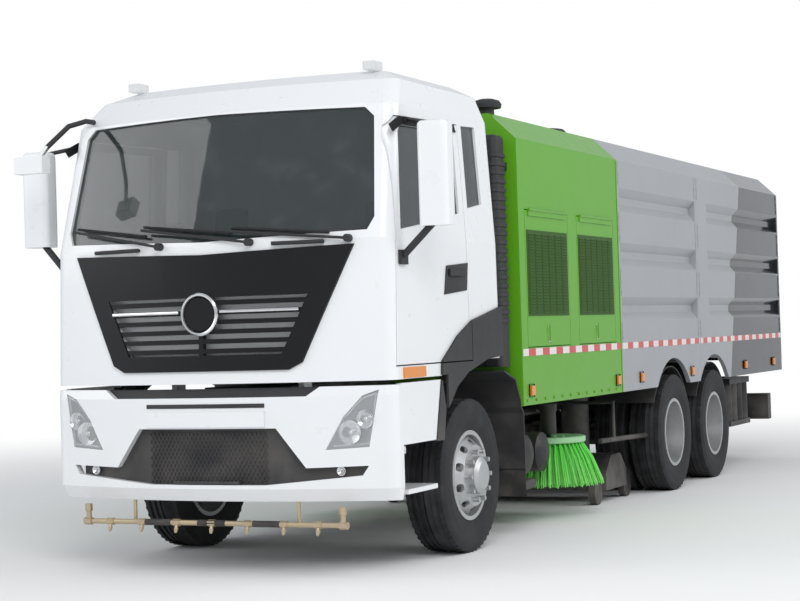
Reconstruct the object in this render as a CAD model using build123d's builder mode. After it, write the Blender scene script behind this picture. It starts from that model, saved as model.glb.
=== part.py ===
from build123d import *
import os
from math import atan2, cos, degrees, radians, sin

# Street sweeper truck, three axles, cab over the front axle.
# Millimetres, +Z up, front towards -Y, the vehicle's left towards +X.
# The origin lies on the ground under the middle of the whole length.

# Overall lengths
LENGTH_AHEAD = 1760.0
LENGTH_BEHIND = 8800.0
FRONT_AXLE_Y = (LENGTH_AHEAD - LENGTH_BEHIND) / 2
BOGIE_DISTANCE = 4600.0
BOGIE_SPREAD = 1350.0
BODY_HALF_WIDTH = 1250.0
PLAY = 0.3
PANEL_GAP = 6.0

# Wheels
TYRE_RADIUS = 522.0
TYRE_HALF_WIDTH = 145.0
BEAD_RADIUS = 289.0
RIM_HALF_WIDTH = 127.0
FLANGE_RADIUS = 305.0
RIM_WALL = 12.0
DISC_OFFSET = 165.0
DISC_THICKNESS = 14.0
BOLT_CIRCLE_RADIUS = 167.5
NUT_COUNT = 10
NUT_RADIUS = 17.0
NUT_REACH = 46.0
HAND_HOLES = 10
HAND_HOLE_RADIUS = 225.0
HUB_RADIUS = 132.0
HUB_REACH = 62.0
DRUM_RADIUS = 205.0
DRUM_WIDTH = 190.0
FRONT_TRACK_HALF = 1023.0
REAR_OUTER_X = 1100.0
REAR_INNER_X = REAR_OUTER_X - 2 * DISC_OFFSET
SPINDLE_RADIUS = 42.0
AXLE_END_RADIUS = 60.0

# Front axle and steering
KINGPIN_X = 800.0
KINGPIN_RADIUS = 22.0
EYE_RADIUS = 46.0
EYE_HALF_HEIGHT = 55.0
LUG_THICKNESS = 30.0
STEER_ARM = 180.0
TIE_ROD_RADIUS = 20.0
BEAM_DROP = 95.0
BEAM_HEIGHT = 80.0
BEAM_DEPTH = 90.0

# Frame
FRAME_HALF_WIDTH = 430.0
RAIL_BOTTOM = 770.0
RAIL_TOP = 1040.0
RAIL_FLANGE = 80.0
RAIL_WALL = 9.0
RAIL_FRONT = -1300.0
RAIL_REAR = 8350.0
SPRING_X = 470.0
SPRING_WIDTH = 70.0

# Cab tilt pivot, ahead of the front axle
TILT_PIVOT_AHEAD = 1380.0
TILT_PIVOT_Z = 900.0
TILT_PIN_RADIUS = 20.0
TILT_ARM_X = 475.0
TILT_ARM_WIDTH = 40.0
TILT_ARM_BACK = 1030.0

os.makedirs("parts", exist_ok=True)


def behind(distance):
    """Y of a place that lies this far behind the front axle."""
    return FRONT_AXLE_Y + distance


def write(name, builder):
    """Label one finished piece and write it under its node name."""
    builder.part.label = name
    export_step(builder.part, f"parts/{name}.step")


def joined(*builders):
    """One piece from several that share a node."""
    with BuildPart() as whole:
        for builder in builders:
            add(builder.part)
    return whole


def block(x, y, z, mode=Mode.ADD):
    """A box in the open part, from (low, high) pairs on the three axes."""
    with Locations(((x[0] + x[1]) / 2, (y[0] + y[1]) / 2, (z[0] + z[1]) / 2)):
        Box(x[1] - x[0], y[1] - y[0], z[1] - z[0], mode=mode)


def both_sides(x):
    """The same (low, high) range on the left and on the right."""
    return [(x[0], x[1]), (-x[1], -x[0])]


def bar(start, end, radius, mode=Mode.ADD):
    """A round bar in the open part, between two points."""
    axis = Vector(*end) - Vector(*start)
    with BuildSketch(Plane(origin=start, z_dir=axis)) as outline:
        Circle(radius)
    extrude(outline.sketch, amount=axis.length, mode=mode)


def side_plate(points, x, mode=Mode.ADD):
    """A plate in the open part, from its outline (distance behind the axle, height)."""
    low, high = x
    corners = [(behind(distance), height) for distance, height in points]
    with BuildSketch(Plane.YZ.offset(low)) as outline:
        with BuildLine():
            Polyline(*corners, close=True)
        make_face()
    extrude(outline.sketch, amount=high - low, mode=mode)


def front_plate(points, y, mode=Mode.ADD):
    """A plate in the open part, from its outline (x, height), facing forwards."""
    low, high = y
    with BuildSketch(Plane.XZ.offset(-high)) as outline:
        with BuildLine():
            Polyline(*points, close=True)
        make_face()
    extrude(outline.sketch, amount=high - low, mode=mode)


def mirrored(builder):
    """The same piece on the vehicle's other side."""
    with BuildPart() as other:
        mirror(builder.part, about=Plane.YZ)
    return other


def cross_plane(x, y):
    """Plane across the vehicle at a wheel's centre: x outwards, then upwards."""
    return Plane(origin=(x, y, TYRE_RADIUS), x_dir=(1, 0, 0), z_dir=(0, -1, 0))


# Wheels
def tyre(y, centres):
    """Tyres on one hub, turned about the axle; one for each centre."""
    with BuildPart() as piece:
        for centre in centres:
            with BuildSketch(cross_plane(centre, y)):
                with BuildLine():
                    bead = RIM_HALF_WIDTH - 18
                    shoulder = TYRE_HALF_WIDTH - 16
                    wide = (FLANGE_RADIUS + TYRE_RADIUS) / 2 - 8
                    lip = FLANGE_RADIUS + 3
                    Line((-bead, BEAD_RADIUS), (bead, BEAD_RADIUS))
                    Line((bead, BEAD_RADIUS), (bead, lip))
                    ThreePointArc((bead, lip), (TYRE_HALF_WIDTH, wide), (shoulder, TYRE_RADIUS - 14))
                    ThreePointArc((shoulder, TYRE_RADIUS - 14), (0, TYRE_RADIUS), (-shoulder, TYRE_RADIUS - 14))
                    ThreePointArc((-shoulder, TYRE_RADIUS - 14), (-TYRE_HALF_WIDTH, wide), (-bead, lip))
                    Line((-bead, lip), (-bead, BEAD_RADIUS))
                make_face()
            revolve(axis=Axis((centre, y, TYRE_RADIUS), (1, 0, 0)))
    return piece


def rim_outline(x, y, disc_side):
    """Half section of a rim and its dished disc; disc_side is +1 where it stands outwards."""
    seat = BEAD_RADIUS - PLAY
    inner = seat - RIM_WALL
    bead = RIM_HALF_WIDTH - 18 + PLAY
    face = disc_side * (DISC_OFFSET - DISC_THICKNESS)
    back = disc_side * DISC_OFFSET
    root = disc_side * 45
    with BuildSketch(cross_plane(x, y)) as outline:
        with BuildLine():
            Polyline(
                (-RIM_HALF_WIDTH, FLANGE_RADIUS),
                (-bead, FLANGE_RADIUS),
                (-bead, seat),
                (bead, seat),
                (bead, FLANGE_RADIUS),
                (RIM_HALF_WIDTH, FLANGE_RADIUS),
                (RIM_HALF_WIDTH, inner),
                (-RIM_HALF_WIDTH, inner),
                close=True,
            )
        make_face()
        with BuildLine():
            Polyline(
                (root, inner + 1),
                (root + disc_side * 30, inner + 1),
                (back, BOLT_CIRCLE_RADIUS + 38),
                (back, HUB_RADIUS - 14),
                (face, HUB_RADIUS - 14),
                (face, BOLT_CIRCLE_RADIUS + 30),
                close=True,
            )
        make_face()
    return outline.sketch


def hand_holes(x, y, disc_side):
    """Oval hand holes through a disc, in a ring near the rim."""
    ring = Plane(origin=(x, y, TYRE_RADIUS), x_dir=(0, 1, 0), z_dir=(1, 0, 0))
    with BuildSketch(ring) as holes:
        with PolarLocations(HAND_HOLE_RADIUS, HAND_HOLES, start_angle=18):
            SlotOverall(58, 34, rotation=90)
    extrude(holes.sketch, amount=disc_side * DISC_OFFSET, mode=Mode.SUBTRACT)


def nuts(x, y, reach):
    """Wheel nuts and stud ends standing out of a disc."""
    ring = Plane(origin=(x, y, TYRE_RADIUS), x_dir=(0, 1, 0), z_dir=(1, 0, 0))
    with BuildSketch(ring) as hexagons:
        with PolarLocations(BOLT_CIRCLE_RADIUS, NUT_COUNT):
            RegularPolygon(NUT_RADIUS, 6)
    extrude(hexagons.sketch, amount=reach)


def front_rim(y):
    """Front rim, disc, hub and drum of the left side, in one piece."""
    x = FRONT_TRACK_HALF
    axis = Axis((x, y, TYRE_RADIUS), (1, 0, 0))
    drum_face = DISC_OFFSET - DISC_THICKNESS
    with BuildPart() as piece:
        revolve(rim_outline(x, y, 1), axis=axis)
        hand_holes(x, y, 1)
        nuts(x + DISC_OFFSET, y, NUT_REACH)
        with BuildSketch(cross_plane(x, y)):
            with BuildLine():
                Polyline(
                    (drum_face, 0),
                    (drum_face, DRUM_RADIUS - 12),
                    (drum_face - DRUM_WIDTH, DRUM_RADIUS),
                    (drum_face - DRUM_WIDTH, DRUM_RADIUS - 26),
                    (drum_face - 24, DRUM_RADIUS - 34),
                    (drum_face - 24, SPINDLE_RADIUS + 30),
                    (drum_face - DRUM_WIDTH + 30, SPINDLE_RADIUS + 26),
                    (drum_face - DRUM_WIDTH + 30, SPINDLE_RADIUS + PLAY),
                    (drum_face - 8, SPINDLE_RADIUS + PLAY),
                    (drum_face - 8, 0),
                    close=True,
                )
            make_face()
            with BuildLine():
                Polyline(
                    (drum_face, 0),
                    (drum_face, HUB_RADIUS),
                    (DISC_OFFSET + HUB_REACH - 22, HUB_RADIUS - 6),
                    (DISC_OFFSET + HUB_REACH, HUB_RADIUS - 40),
                    (DISC_OFFSET + HUB_REACH, 0),
                    close=True,
                )
            make_face()
        revolve(axis=axis)
    return piece


def rear_rim(y):
    """Twin rims of the left side with their discs back to back, hub and drum."""
    x = (REAR_OUTER_X + REAR_INNER_X) / 2
    axis = Axis((x, y, TYRE_RADIUS), (1, 0, 0))
    with BuildPart() as piece:
        for centre, disc_side in ((REAR_OUTER_X, -1), (REAR_INNER_X, 1)):
            revolve(rim_outline(centre, y, disc_side), axis=axis)
            hand_holes(centre, y, disc_side)
        nuts(x + DISC_THICKNESS, y, NUT_REACH)
        with BuildSketch(cross_plane(x, y)):
            with BuildLine():
                Polyline(
                    (-DISC_THICKNESS - 24, AXLE_END_RADIUS + PLAY),
                    (-DISC_THICKNESS - 24, DRUM_RADIUS - 34),
                    (-DISC_THICKNESS - DRUM_WIDTH, DRUM_RADIUS - 26),
                    (-DISC_THICKNESS - DRUM_WIDTH, DRUM_RADIUS),
                    (-DISC_THICKNESS, DRUM_RADIUS - 12),
                    (-DISC_THICKNESS, HUB_RADIUS - 14),
                    (0, HUB_RADIUS - 14),
                    (96, HUB_RADIUS - 22),
                    (118, HUB_RADIUS - 52),
                    (118, 0),
                    (104, 0),
                    (104, AXLE_END_RADIUS + PLAY),
                    close=True,
                )
            make_face()
        revolve(axis=axis)
    return piece


WHEELS = (
    # name, distance behind the front axle, tyre centres, rim maker
    ("front_left", 0.0, (FRONT_TRACK_HALF,), front_rim),
    ("middle_left", BOGIE_DISTANCE, (REAR_OUTER_X, REAR_INNER_X), rear_rim),
    ("rear_left", BOGIE_DISTANCE + BOGIE_SPREAD, (REAR_OUTER_X, REAR_INNER_X), rear_rim),
)
for wheel_name, distance, centres, rim_maker in WHEELS:
    left_tyre = tyre(behind(distance), centres)
    left_rim = rim_maker(behind(distance))
    write(f"tyre_{wheel_name}", left_tyre)
    write(f"rim_{wheel_name}", left_rim)
    right_name = wheel_name.replace("left", "right")
    write(f"tyre_{right_name}", mirrored(left_tyre))
    write(f"rim_{right_name}", mirrored(left_rim))

# Steering knuckle of the left side: fork, kingpin, spindle and steering arm
with BuildPart() as knuckle:
    spindle_end = FRONT_TRACK_HALF + DISC_OFFSET - DISC_THICKNESS - 8 - 4
    web_x = KINGPIN_X + EYE_RADIUS + 6
    lug_z = EYE_HALF_HEIGHT + PLAY
    for low in (lug_z, -lug_z - LUG_THICKNESS):
        with BuildSketch(Plane.XY.offset(TYRE_RADIUS + low)):
            with Locations((KINGPIN_X, behind(0))):
                Circle(EYE_RADIUS)
            with Locations(((KINGPIN_X + web_x + 34) / 2, behind(0))):
                Rectangle(web_x + 34 - KINGPIN_X, 2 * EYE_RADIUS)
        extrude(amount=LUG_THICKNESS)
    block(
        (web_x, web_x + 34),
        (behind(-EYE_RADIUS), behind(EYE_RADIUS)),
        (TYRE_RADIUS - lug_z - 1, TYRE_RADIUS + lug_z + 1),
    )
    with Locations((KINGPIN_X, behind(0), TYRE_RADIUS)):
        Cylinder(KINGPIN_RADIUS, 2 * (lug_z + LUG_THICKNESS))
    bar((web_x + 20, behind(0), TYRE_RADIUS), (spindle_end, behind(0), TYRE_RADIUS), SPINDLE_RADIUS)
    arm_z = TYRE_RADIUS - lug_z - LUG_THICKNESS
    with BuildSketch(Plane.XY.offset(arm_z)):
        with Locations((KINGPIN_X, behind(STEER_ARM / 2))):
            SlotOverall(STEER_ARM + 60, 56, rotation=90)
    extrude(amount=LUG_THICKNESS - 4)
    with Locations((KINGPIN_X, behind(STEER_ARM), arm_z - 18)):
        Cylinder(14, 44)
write("knuckle_left", knuckle)
write("knuckle_right", mirrored(knuckle))

# Tie rod between the two steering arms, on their ball pins
with BuildPart() as tie_rod:
    rod_z = arm_z - 6 - TIE_ROD_RADIUS
    rod_end = KINGPIN_X - 24
    bar((-rod_end, behind(STEER_ARM), rod_z), (rod_end, behind(STEER_ARM), rod_z), TIE_ROD_RADIUS)
    for side in (-1, 1):
        with Locations((side * KINGPIN_X, behind(STEER_ARM), rod_z)):
            Cylinder(34, 2 * TIE_ROD_RADIUS - 6)
            Cylinder(14 + PLAY, 100, mode=Mode.SUBTRACT)
write("tie_rod", tie_rod)

# Front axle: dropped I-beam with its kingpin eyes and leaf springs
with BuildPart() as front_axle:
    top = BEAM_HEIGHT / 2
    end_x = KINGPIN_X - EYE_RADIUS + 6
    drop_x = SPRING_X + 90
    for low, high, half_depth in (
        (-top, -top + 18, BEAM_DEPTH / 2),
        (-top, top, 14),
        (top - 18, top, BEAM_DEPTH / 2),
    ):
        with BuildSketch(Plane.XZ.offset(-behind(half_depth))):
            with BuildLine():
                Polyline(
                    (-end_x, TYRE_RADIUS + low),
                    (-drop_x, TYRE_RADIUS - BEAM_DROP + low),
                    (drop_x, TYRE_RADIUS - BEAM_DROP + low),
                    (end_x, TYRE_RADIUS + low),
                    (end_x, TYRE_RADIUS + high),
                    (drop_x, TYRE_RADIUS - BEAM_DROP + high),
                    (-drop_x, TYRE_RADIUS - BEAM_DROP + high),
                    (-end_x, TYRE_RADIUS + high),
                    close=True,
                )
            make_face()
        extrude(amount=2 * half_depth)
    for side in (-1, 1):
        with Locations((side * KINGPIN_X, behind(0), TYRE_RADIUS)):
            Cylinder(EYE_RADIUS - 4, 2 * EYE_HALF_HEIGHT)
            Cylinder(KINGPIN_RADIUS + PLAY, 3 * EYE_HALF_HEIGHT, mode=Mode.SUBTRACT)

# Chassis frame: two channel rails, cross members, body bearers and cab pivots
CROSS_MEMBERS = (-1240.0, 1450.0, 3300.0, 5275.0, 6800.0, 8290.0)
CROSS_DEPTH = 90.0
BEARER_TOP = 1110.0
TIP_PIVOT = (8300.0, 1075.0)
TIP_PIN_RADIUS = 35.0
TIP_EYE_RADIUS = 62.0
with BuildPart() as chassis_frame:
    rail_span = (behind(RAIL_FRONT), behind(RAIL_REAR))
    for outer in (-FRAME_HALF_WIDTH, FRAME_HALF_WIDTH):
        side = 1 if outer > 0 else -1
        web = sorted((outer, outer - side * RAIL_WALL))
        flange = sorted((outer, outer - side * RAIL_FLANGE))
        block(web, rail_span, (RAIL_BOTTOM, RAIL_TOP))
        block(flange, rail_span, (RAIL_BOTTOM, RAIL_BOTTOM + RAIL_WALL))
        block(flange, rail_span, (RAIL_TOP - RAIL_WALL, RAIL_TOP))
        block(flange, (behind(820), behind(RAIL_REAR)), (RAIL_TOP - 1, BEARER_TOP))
        plate = sorted((outer, outer + side * 16))
        side_plate(
            ((-TILT_PIVOT_AHEAD - 60, 850), (-TILT_PIVOT_AHEAD + 60, 820), (-1180, 800),
             (-1180, 1000), (-TILT_PIVOT_AHEAD + 30, 965), (-TILT_PIVOT_AHEAD - 60, 935)),
            plate,
        )
        pin_end = side * (TILT_ARM_X + TILT_ARM_WIDTH / 2 + 16)
        bar(
            (outer, behind(-TILT_PIVOT_AHEAD), TILT_PIVOT_Z),
            (pin_end, behind(-TILT_PIVOT_AHEAD), TILT_PIVOT_Z),
            TILT_PIN_RADIUS,
        )
        bearing = sorted((outer, outer - side * RAIL_FLANGE))
        bar((bearing[0], behind(TIP_PIVOT[0]), TIP_PIVOT[1]), (bearing[1], behind(TIP_PIVOT[0]), TIP_PIVOT[1]),
            TIP_EYE_RADIUS)
        bar((bearing[0] - 1, behind(TIP_PIVOT[0]), TIP_PIVOT[1]), (bearing[1] + 1, behind(TIP_PIVOT[0]), TIP_PIVOT[1]),
            TIP_PIN_RADIUS + PLAY, mode=Mode.SUBTRACT)
    inner_web = FRAME_HALF_WIDTH - RAIL_WALL + 1
    for station in CROSS_MEMBERS:
        block(
            (-inner_web, inner_web),
            (behind(station - CROSS_DEPTH / 2), behind(station + CROSS_DEPTH / 2)),
            (870, 1010),
        )

# Towing jaw on the rear cross member, with its upright pin bore
JAW_HALF_WIDTH = 60.0
JAW_REAR = 8430.0
JAW_BORE = (8385.0, 20.0)
with BuildPart() as towing_jaw:
    jaw_x = (-JAW_HALF_WIDTH, JAW_HALF_WIDTH)
    jaw_front = CROSS_MEMBERS[-1] + CROSS_DEPTH / 2
    block(jaw_x, (behind(jaw_front - 2), behind(jaw_front + 20)), (775, 1000))
    for z in ((775, 795), (845, 865)):
        block(jaw_x, (behind(jaw_front + 18), behind(JAW_REAR)), z)
    with Locations((0, behind(JAW_BORE[0]), 820)):
        Cylinder(JAW_BORE[1], 200, mode=Mode.SUBTRACT)

# Leaf springs and hangers of the front axle
SPRING_REACH = 750.0
SPRING_THICKNESS = 60.0
with BuildPart() as front_springs:
    seat_z = TYRE_RADIUS - BEAM_DROP + BEAM_HEIGHT / 2
    eye_z = 650.0
    for x in both_sides((SPRING_X - SPRING_WIDTH / 2, SPRING_X + SPRING_WIDTH / 2)):
        with BuildSketch(Plane.YZ.offset(x[0])) as leaves:
            with BuildLine():
                low = seat_z + 24
                ThreePointArc((behind(-SPRING_REACH), eye_z), (behind(0), low), (behind(SPRING_REACH), eye_z))
                Line((behind(SPRING_REACH), eye_z), (behind(SPRING_REACH), eye_z + 26))
                ThreePointArc(
                    (behind(SPRING_REACH), eye_z + 26),
                    (behind(0), low + SPRING_THICKNESS),
                    (behind(-SPRING_REACH), eye_z + 26),
                )
                Line((behind(-SPRING_REACH), eye_z + 26), (behind(-SPRING_REACH), eye_z))
            make_face()
        extrude(amount=x[1] - x[0])
        block(x, (behind(-80), behind(80)), (seat_z, low + 12))
        for reach in (-SPRING_REACH, SPRING_REACH):
            inner = min(abs(x[0]), abs(x[1]))
            hanger = sorted((inner + 10, FRAME_HALF_WIDTH)) if x[0] > 0 else sorted((-inner - 10, -FRAME_HALF_WIDTH))
            side_plate(
                ((reach - 45, eye_z - 20), (reach + 45, eye_z - 20), (reach + 70, 860), (reach - 70, 860)),
                (min(x[0], hanger[0]), max(x[1], hanger[1])),
            )
write("front_axle", joined(front_axle, front_springs))

# Driven bogie: two banjo axles, their trunnion and leaf springs
BOGIE_Y = BOGIE_DISTANCE + BOGIE_SPREAD / 2
HOUSING_RADIUS = 82.0
BANJO_RADIUS = 205.0
TRUNNION_Z = 640.0
with BuildPart() as rear_axles:
    stub_end = (REAR_OUTER_X + REAR_INNER_X) / 2 + 98
    for distance in (BOGIE_DISTANCE, BOGIE_DISTANCE + BOGIE_SPREAD):
        bar((-stub_end, behind(distance), TYRE_RADIUS), (stub_end, behind(distance), TYRE_RADIUS), AXLE_END_RADIUS)
        bar((-690, behind(distance), TYRE_RADIUS), (690, behind(distance), TYRE_RADIUS), HOUSING_RADIUS)
        with BuildSketch(cross_plane(0, behind(distance))):
            with BuildLine():
                Polyline(
                    (-250, 0), (-250, HOUSING_RADIUS + 8), (-110, BANJO_RADIUS),
                    (110, BANJO_RADIUS), (250, HOUSING_RADIUS + 8), (250, 0), close=True,
                )
            make_face()
        revolve(axis=Axis((0, behind(distance), TYRE_RADIUS), (1, 0, 0)))
    bar((-520, behind(BOGIE_Y), TRUNNION_Z), (520, behind(BOGIE_Y), TRUNNION_Z), 55)
    reach = BOGIE_SPREAD / 2 + 70
    for x in both_sides((SPRING_X - SPRING_WIDTH / 2, SPRING_X + SPRING_WIDTH / 2)):
        with BuildSketch(Plane.YZ.offset(x[0])):
            with BuildLine():
                end_z = TYRE_RADIUS + HOUSING_RADIUS - 26
                ThreePointArc(
                    (behind(BOGIE_Y - reach), end_z),
                    (behind(BOGIE_Y), TRUNNION_Z + 40),
                    (behind(BOGIE_Y + reach), end_z),
                )
                Line((behind(BOGIE_Y + reach), end_z), (behind(BOGIE_Y + reach), end_z + 30))
                ThreePointArc(
                    (behind(BOGIE_Y + reach), end_z + 30),
                    (behind(BOGIE_Y), TRUNNION_Z + 40 + 110),
                    (behind(BOGIE_Y - reach), end_z + 30),
                )
                Line((behind(BOGIE_Y - reach), end_z + 30), (behind(BOGIE_Y - reach), end_z))
            make_face()
        extrude(amount=x[1] - x[0])
    for x in both_sides((FRAME_HALF_WIDTH, FRAME_HALF_WIDTH + 22)):
        side_plate(
            ((BOGIE_Y - 90, TRUNNION_Z - 70), (BOGIE_Y + 90, TRUNNION_Z - 70),
             (BOGIE_Y + 170, 900), (BOGIE_Y - 170, 900)),
            x,
        )
write("rear_axles", rear_axles)

# Engine as one plain block, gearbox and propeller shafts
ENGINE_HALF_WIDTH = 325.0
ENGINE_TOP = 1180.0
SHAFT_RADIUS = 58.0
with BuildPart() as engine:
    block((-ENGINE_HALF_WIDTH, ENGINE_HALF_WIDTH), (behind(-1000), behind(560)), (640, ENGINE_TOP))
    block((-210, 210), (behind(559), behind(1260)), (650, 1020))
    for station in (-650, 250):
        block((-FRAME_HALF_WIDTH + RAIL_WALL, FRAME_HALF_WIDTH - RAIL_WALL), (behind(station), behind(station + 110)),
              (900, 970))
    front_flange = (0, behind(1250), 780)
    axle_flange = (0, behind(BOGIE_DISTANCE - BANJO_RADIUS - 31), TYRE_RADIUS + 30)
    bar(front_flange, axle_flange, SHAFT_RADIUS)
    for flange in (front_flange, axle_flange):
        with Locations(flange):
            Cylinder(92, 60, rotation=(90, 0, 0))

# Second engine of the sweeping gear, inside the green module
with BuildPart() as sweeping_engine:
    block((-430, 430), (behind(1050), behind(2350)), (1180, 1900))
    for station in (1150, 2150):
        block((-FRAME_HALF_WIDTH, FRAME_HALF_WIDTH), (behind(station), behind(station + 100)), (BEARER_TOP, 1181))
write("engines", joined(engine, sweeping_engine))

# Two round chambers ahead of the side brush, and the outlet pipe below them
CHAMBERS = ((1310.0, 565.0, 145.0), (1650.0, 560.0, 150.0))
CHAMBER_X = (700.0, 1095.0)
with BuildPart() as chambers:
    for side in (-1, 1):
        for distance, height, radius in CHAMBERS:
            with BuildSketch(cross_plane(0, behind(distance))) as half_section:
                with BuildLine():
                    start = side * CHAMBER_X[0]
                    end = side * CHAMBER_X[1]
                    Polyline((end - side * 45, radius), (start, radius), (start, 0), (end, 0))
                    ThreePointArc((end, 0), (end - side * 16, radius * 0.62), (end - side * 45, radius))
                make_face()
            turned = revolve(axis=Axis((0, behind(distance), TYRE_RADIUS), (1, 0, 0)), mode=Mode.PRIVATE)
            add(turned.moved(Location((0, 0, height - TYRE_RADIUS))))
        block(sorted((side * FRAME_HALF_WIDTH, side * (CHAMBER_X[0] + 12))), (behind(1240), behind(1720)), (600, 626))
        block(sorted((side * FRAME_HALF_WIDTH, side * (FRAME_HALF_WIDTH + 14))), (behind(1240), behind(1720)), (600, 900))

# Bodywork: one cross section for the three modules behind the cab
SKIRT_Z = 950.0
SHOULDER_Z = 2880.0
ROOF_Z = 3070.0
ROOF_HALF_WIDTH = 1050.0
GREEN_SPAN = (775.0, 3077.0)
TANK_SPAN = (3080.0, 5447.0)
HOPPER_SPAN = (5450.0, 8720.0)
BODY_WALL = 40.0
TANK_FLOOR = 1200.0
HOPPER_FLOOR = 1150.0
ARCH_RADIUS = 670.0
ARCH_CENTRES = ((BOGIE_DISTANCE - 30, TYRE_RADIUS), (BOGIE_DISTANCE + BOGIE_SPREAD - 10, TYRE_RADIUS))
GROOVE_TOPS = (2653.0, 2195.0, 1740.0)
GROOVE_HEIGHT = 200.0
GROOVE_DEPTH = 60.0
GROOVE_UPPER_SLOPE = 70.0
GROOVE_FLOOR = 60.0


def body_prism(span, bottom, inset=0.0):
    """The module section drawn along the vehicle, over a (front, rear) span."""
    half = BODY_HALF_WIDTH - inset
    with BuildSketch(Plane.XZ.offset(-behind(span[1]))) as outline:
        with BuildLine():
            Polyline(
                (-half, bottom), (half, bottom), (half, SHOULDER_Z - inset / 2),
                (ROOF_HALF_WIDTH - inset / 2, ROOF_Z - inset), (-ROOF_HALF_WIDTH + inset / 2, ROOF_Z - inset),
                (-half, SHOULDER_Z - inset / 2), close=True,
            )
        make_face()
    return extrude(outline.sketch, amount=span[1] - span[0], mode=Mode.PRIVATE)


def grooves(span, mode=Mode.SUBTRACT):
    """Long pressed grooves along both side walls, over a (front, rear) span."""
    for top in GROOVE_TOPS:
        for side in (-1, 1):
            out = side * (BODY_HALF_WIDTH + 1)
            deep = side * (BODY_HALF_WIDTH - GROOVE_DEPTH)
            front_plate(
                ((out, top), (deep, top - GROOVE_UPPER_SLOPE), (deep, top - GROOVE_UPPER_SLOPE - GROOVE_FLOOR),
                 (out, top - GROOVE_HEIGHT)),
                (behind(span[0]), behind(span[1])),
                mode=mode,
            )


def arches(mode=Mode.SUBTRACT):
    """Round wheel arches of the bogie, right across."""
    for distance, height in ARCH_CENTRES:
        with BuildSketch(Plane.YZ.offset(-BODY_HALF_WIDTH - 5)) as circles:
            with Locations((behind(distance), height)):
                Circle(ARCH_RADIUS)
        extrude(circles.sketch, amount=2 * BODY_HALF_WIDTH + 10, mode=mode)


# Green module over the sweeping engine, with its four lift-up doors
DOOR_SPANS = ((910.0, 1830.0), (2030.0, 2930.0))
DOOR_Z = (1365.0, 2372.0)
DOOR_HINGE_OUT = 12.0
LOUVRE_Z = (1609.0, 2210.0)
LOUVRE_INSET = 62.0
LOUVRE_ROWS = 14
LATCH_Z = 1465.0
INTAKE_CAP = (985.0, 905.0)
HATCH = (760.0, 2600.0)
HATCH_RADIUS = 215.0
with BuildPart() as green_module:
    add(body_prism(GREEN_SPAN, SKIRT_Z))
    inner_span = (GREEN_SPAN[0] + BODY_WALL, GREEN_SPAN[1] - BODY_WALL)
    add(body_prism(inner_span, HOPPER_FLOOR, BODY_WALL), mode=Mode.SUBTRACT)
    block(
        (-BODY_HALF_WIDTH + BODY_WALL, BODY_HALF_WIDTH - BODY_WALL),
        (behind(GREEN_SPAN[0] + BODY_WALL), behind(GREEN_SPAN[1]) + 1),
        (SKIRT_Z - 1, BEARER_TOP),
        mode=Mode.SUBTRACT,
    )
    block(
        (-FRAME_HALF_WIDTH - 2, FRAME_HALF_WIDTH + 2), (behind(GREEN_SPAN[0]) - 1, behind(GREEN_SPAN[0] + BODY_WALL) + 1),
        (SKIRT_Z - 1, BEARER_TOP + PLAY), mode=Mode.SUBTRACT,
    )
    block(
        (-FRAME_HALF_WIDTH - 1, FRAME_HALF_WIDTH + 1), (behind(1040), behind(2360)), (BEARER_TOP - 1, HOPPER_FLOOR + 1),
        mode=Mode.SUBTRACT,
    )
    for front, rear in DOOR_SPANS:
        block(
            (-BODY_HALF_WIDTH - 1, BODY_HALF_WIDTH + 1), (behind(front), behind(rear)), DOOR_Z,
            mode=Mode.SUBTRACT,
        )
    with Locations((HATCH[0], behind(HATCH[1]), ROOF_Z)):
        Cylinder(HATCH_RADIUS - 30, 2 * BODY_WALL + 20, mode=Mode.SUBTRACT)
write("green_module", green_module)


def equipment_door(span):
    """Left lift-up door: flush panel, sunk louvre field with slats, and a latch."""
    front, rear = span[0] + PANEL_GAP, span[1] - PANEL_GAP
    inner = BODY_HALF_WIDTH - BODY_WALL
    with BuildPart() as piece:
        block((inner, BODY_HALF_WIDTH), (behind(front), behind(rear)), (DOOR_Z[0] + PANEL_GAP, DOOR_Z[1] - PANEL_GAP))
        field = (behind(front + LOUVRE_INSET - 28), behind(rear - LOUVRE_INSET + 28))
        pitch = (LOUVRE_Z[1] - LOUVRE_Z[0]) / LOUVRE_ROWS
        for row in range(LOUVRE_ROWS):
            low = LOUVRE_Z[0] + row * pitch
            block((BODY_HALF_WIDTH - 14, BODY_HALF_WIDTH + 1), field, (low, low + pitch * 0.55), mode=Mode.SUBTRACT)
        middle = behind((front + rear) / 2)
        block((BODY_HALF_WIDTH - 1, BODY_HALF_WIDTH + 14), (middle - 22, middle + 22), (LATCH_Z - 60, LATCH_Z + 60))
        bar(
            (BODY_HALF_WIDTH + DOOR_HINGE_OUT - 2, behind(front + 60), DOOR_Z[1] - 1),
            (BODY_HALF_WIDTH + DOOR_HINGE_OUT - 2, behind(rear - 60), DOOR_Z[1] - 1),
            10,
        )
        block((BODY_HALF_WIDTH - 1, BODY_HALF_WIDTH + 10), (behind(front + 60), behind(rear - 60)),
              (DOOR_Z[1] - 46, DOOR_Z[1] - 4))
    return piece


for place, span in (("front", DOOR_SPANS[0]), ("rear", DOOR_SPANS[1])):
    left_door = equipment_door(span)
    write(f"equipment_door_{place}_left", left_door)
    write(f"equipment_door_{place}_right", mirrored(left_door))

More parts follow.
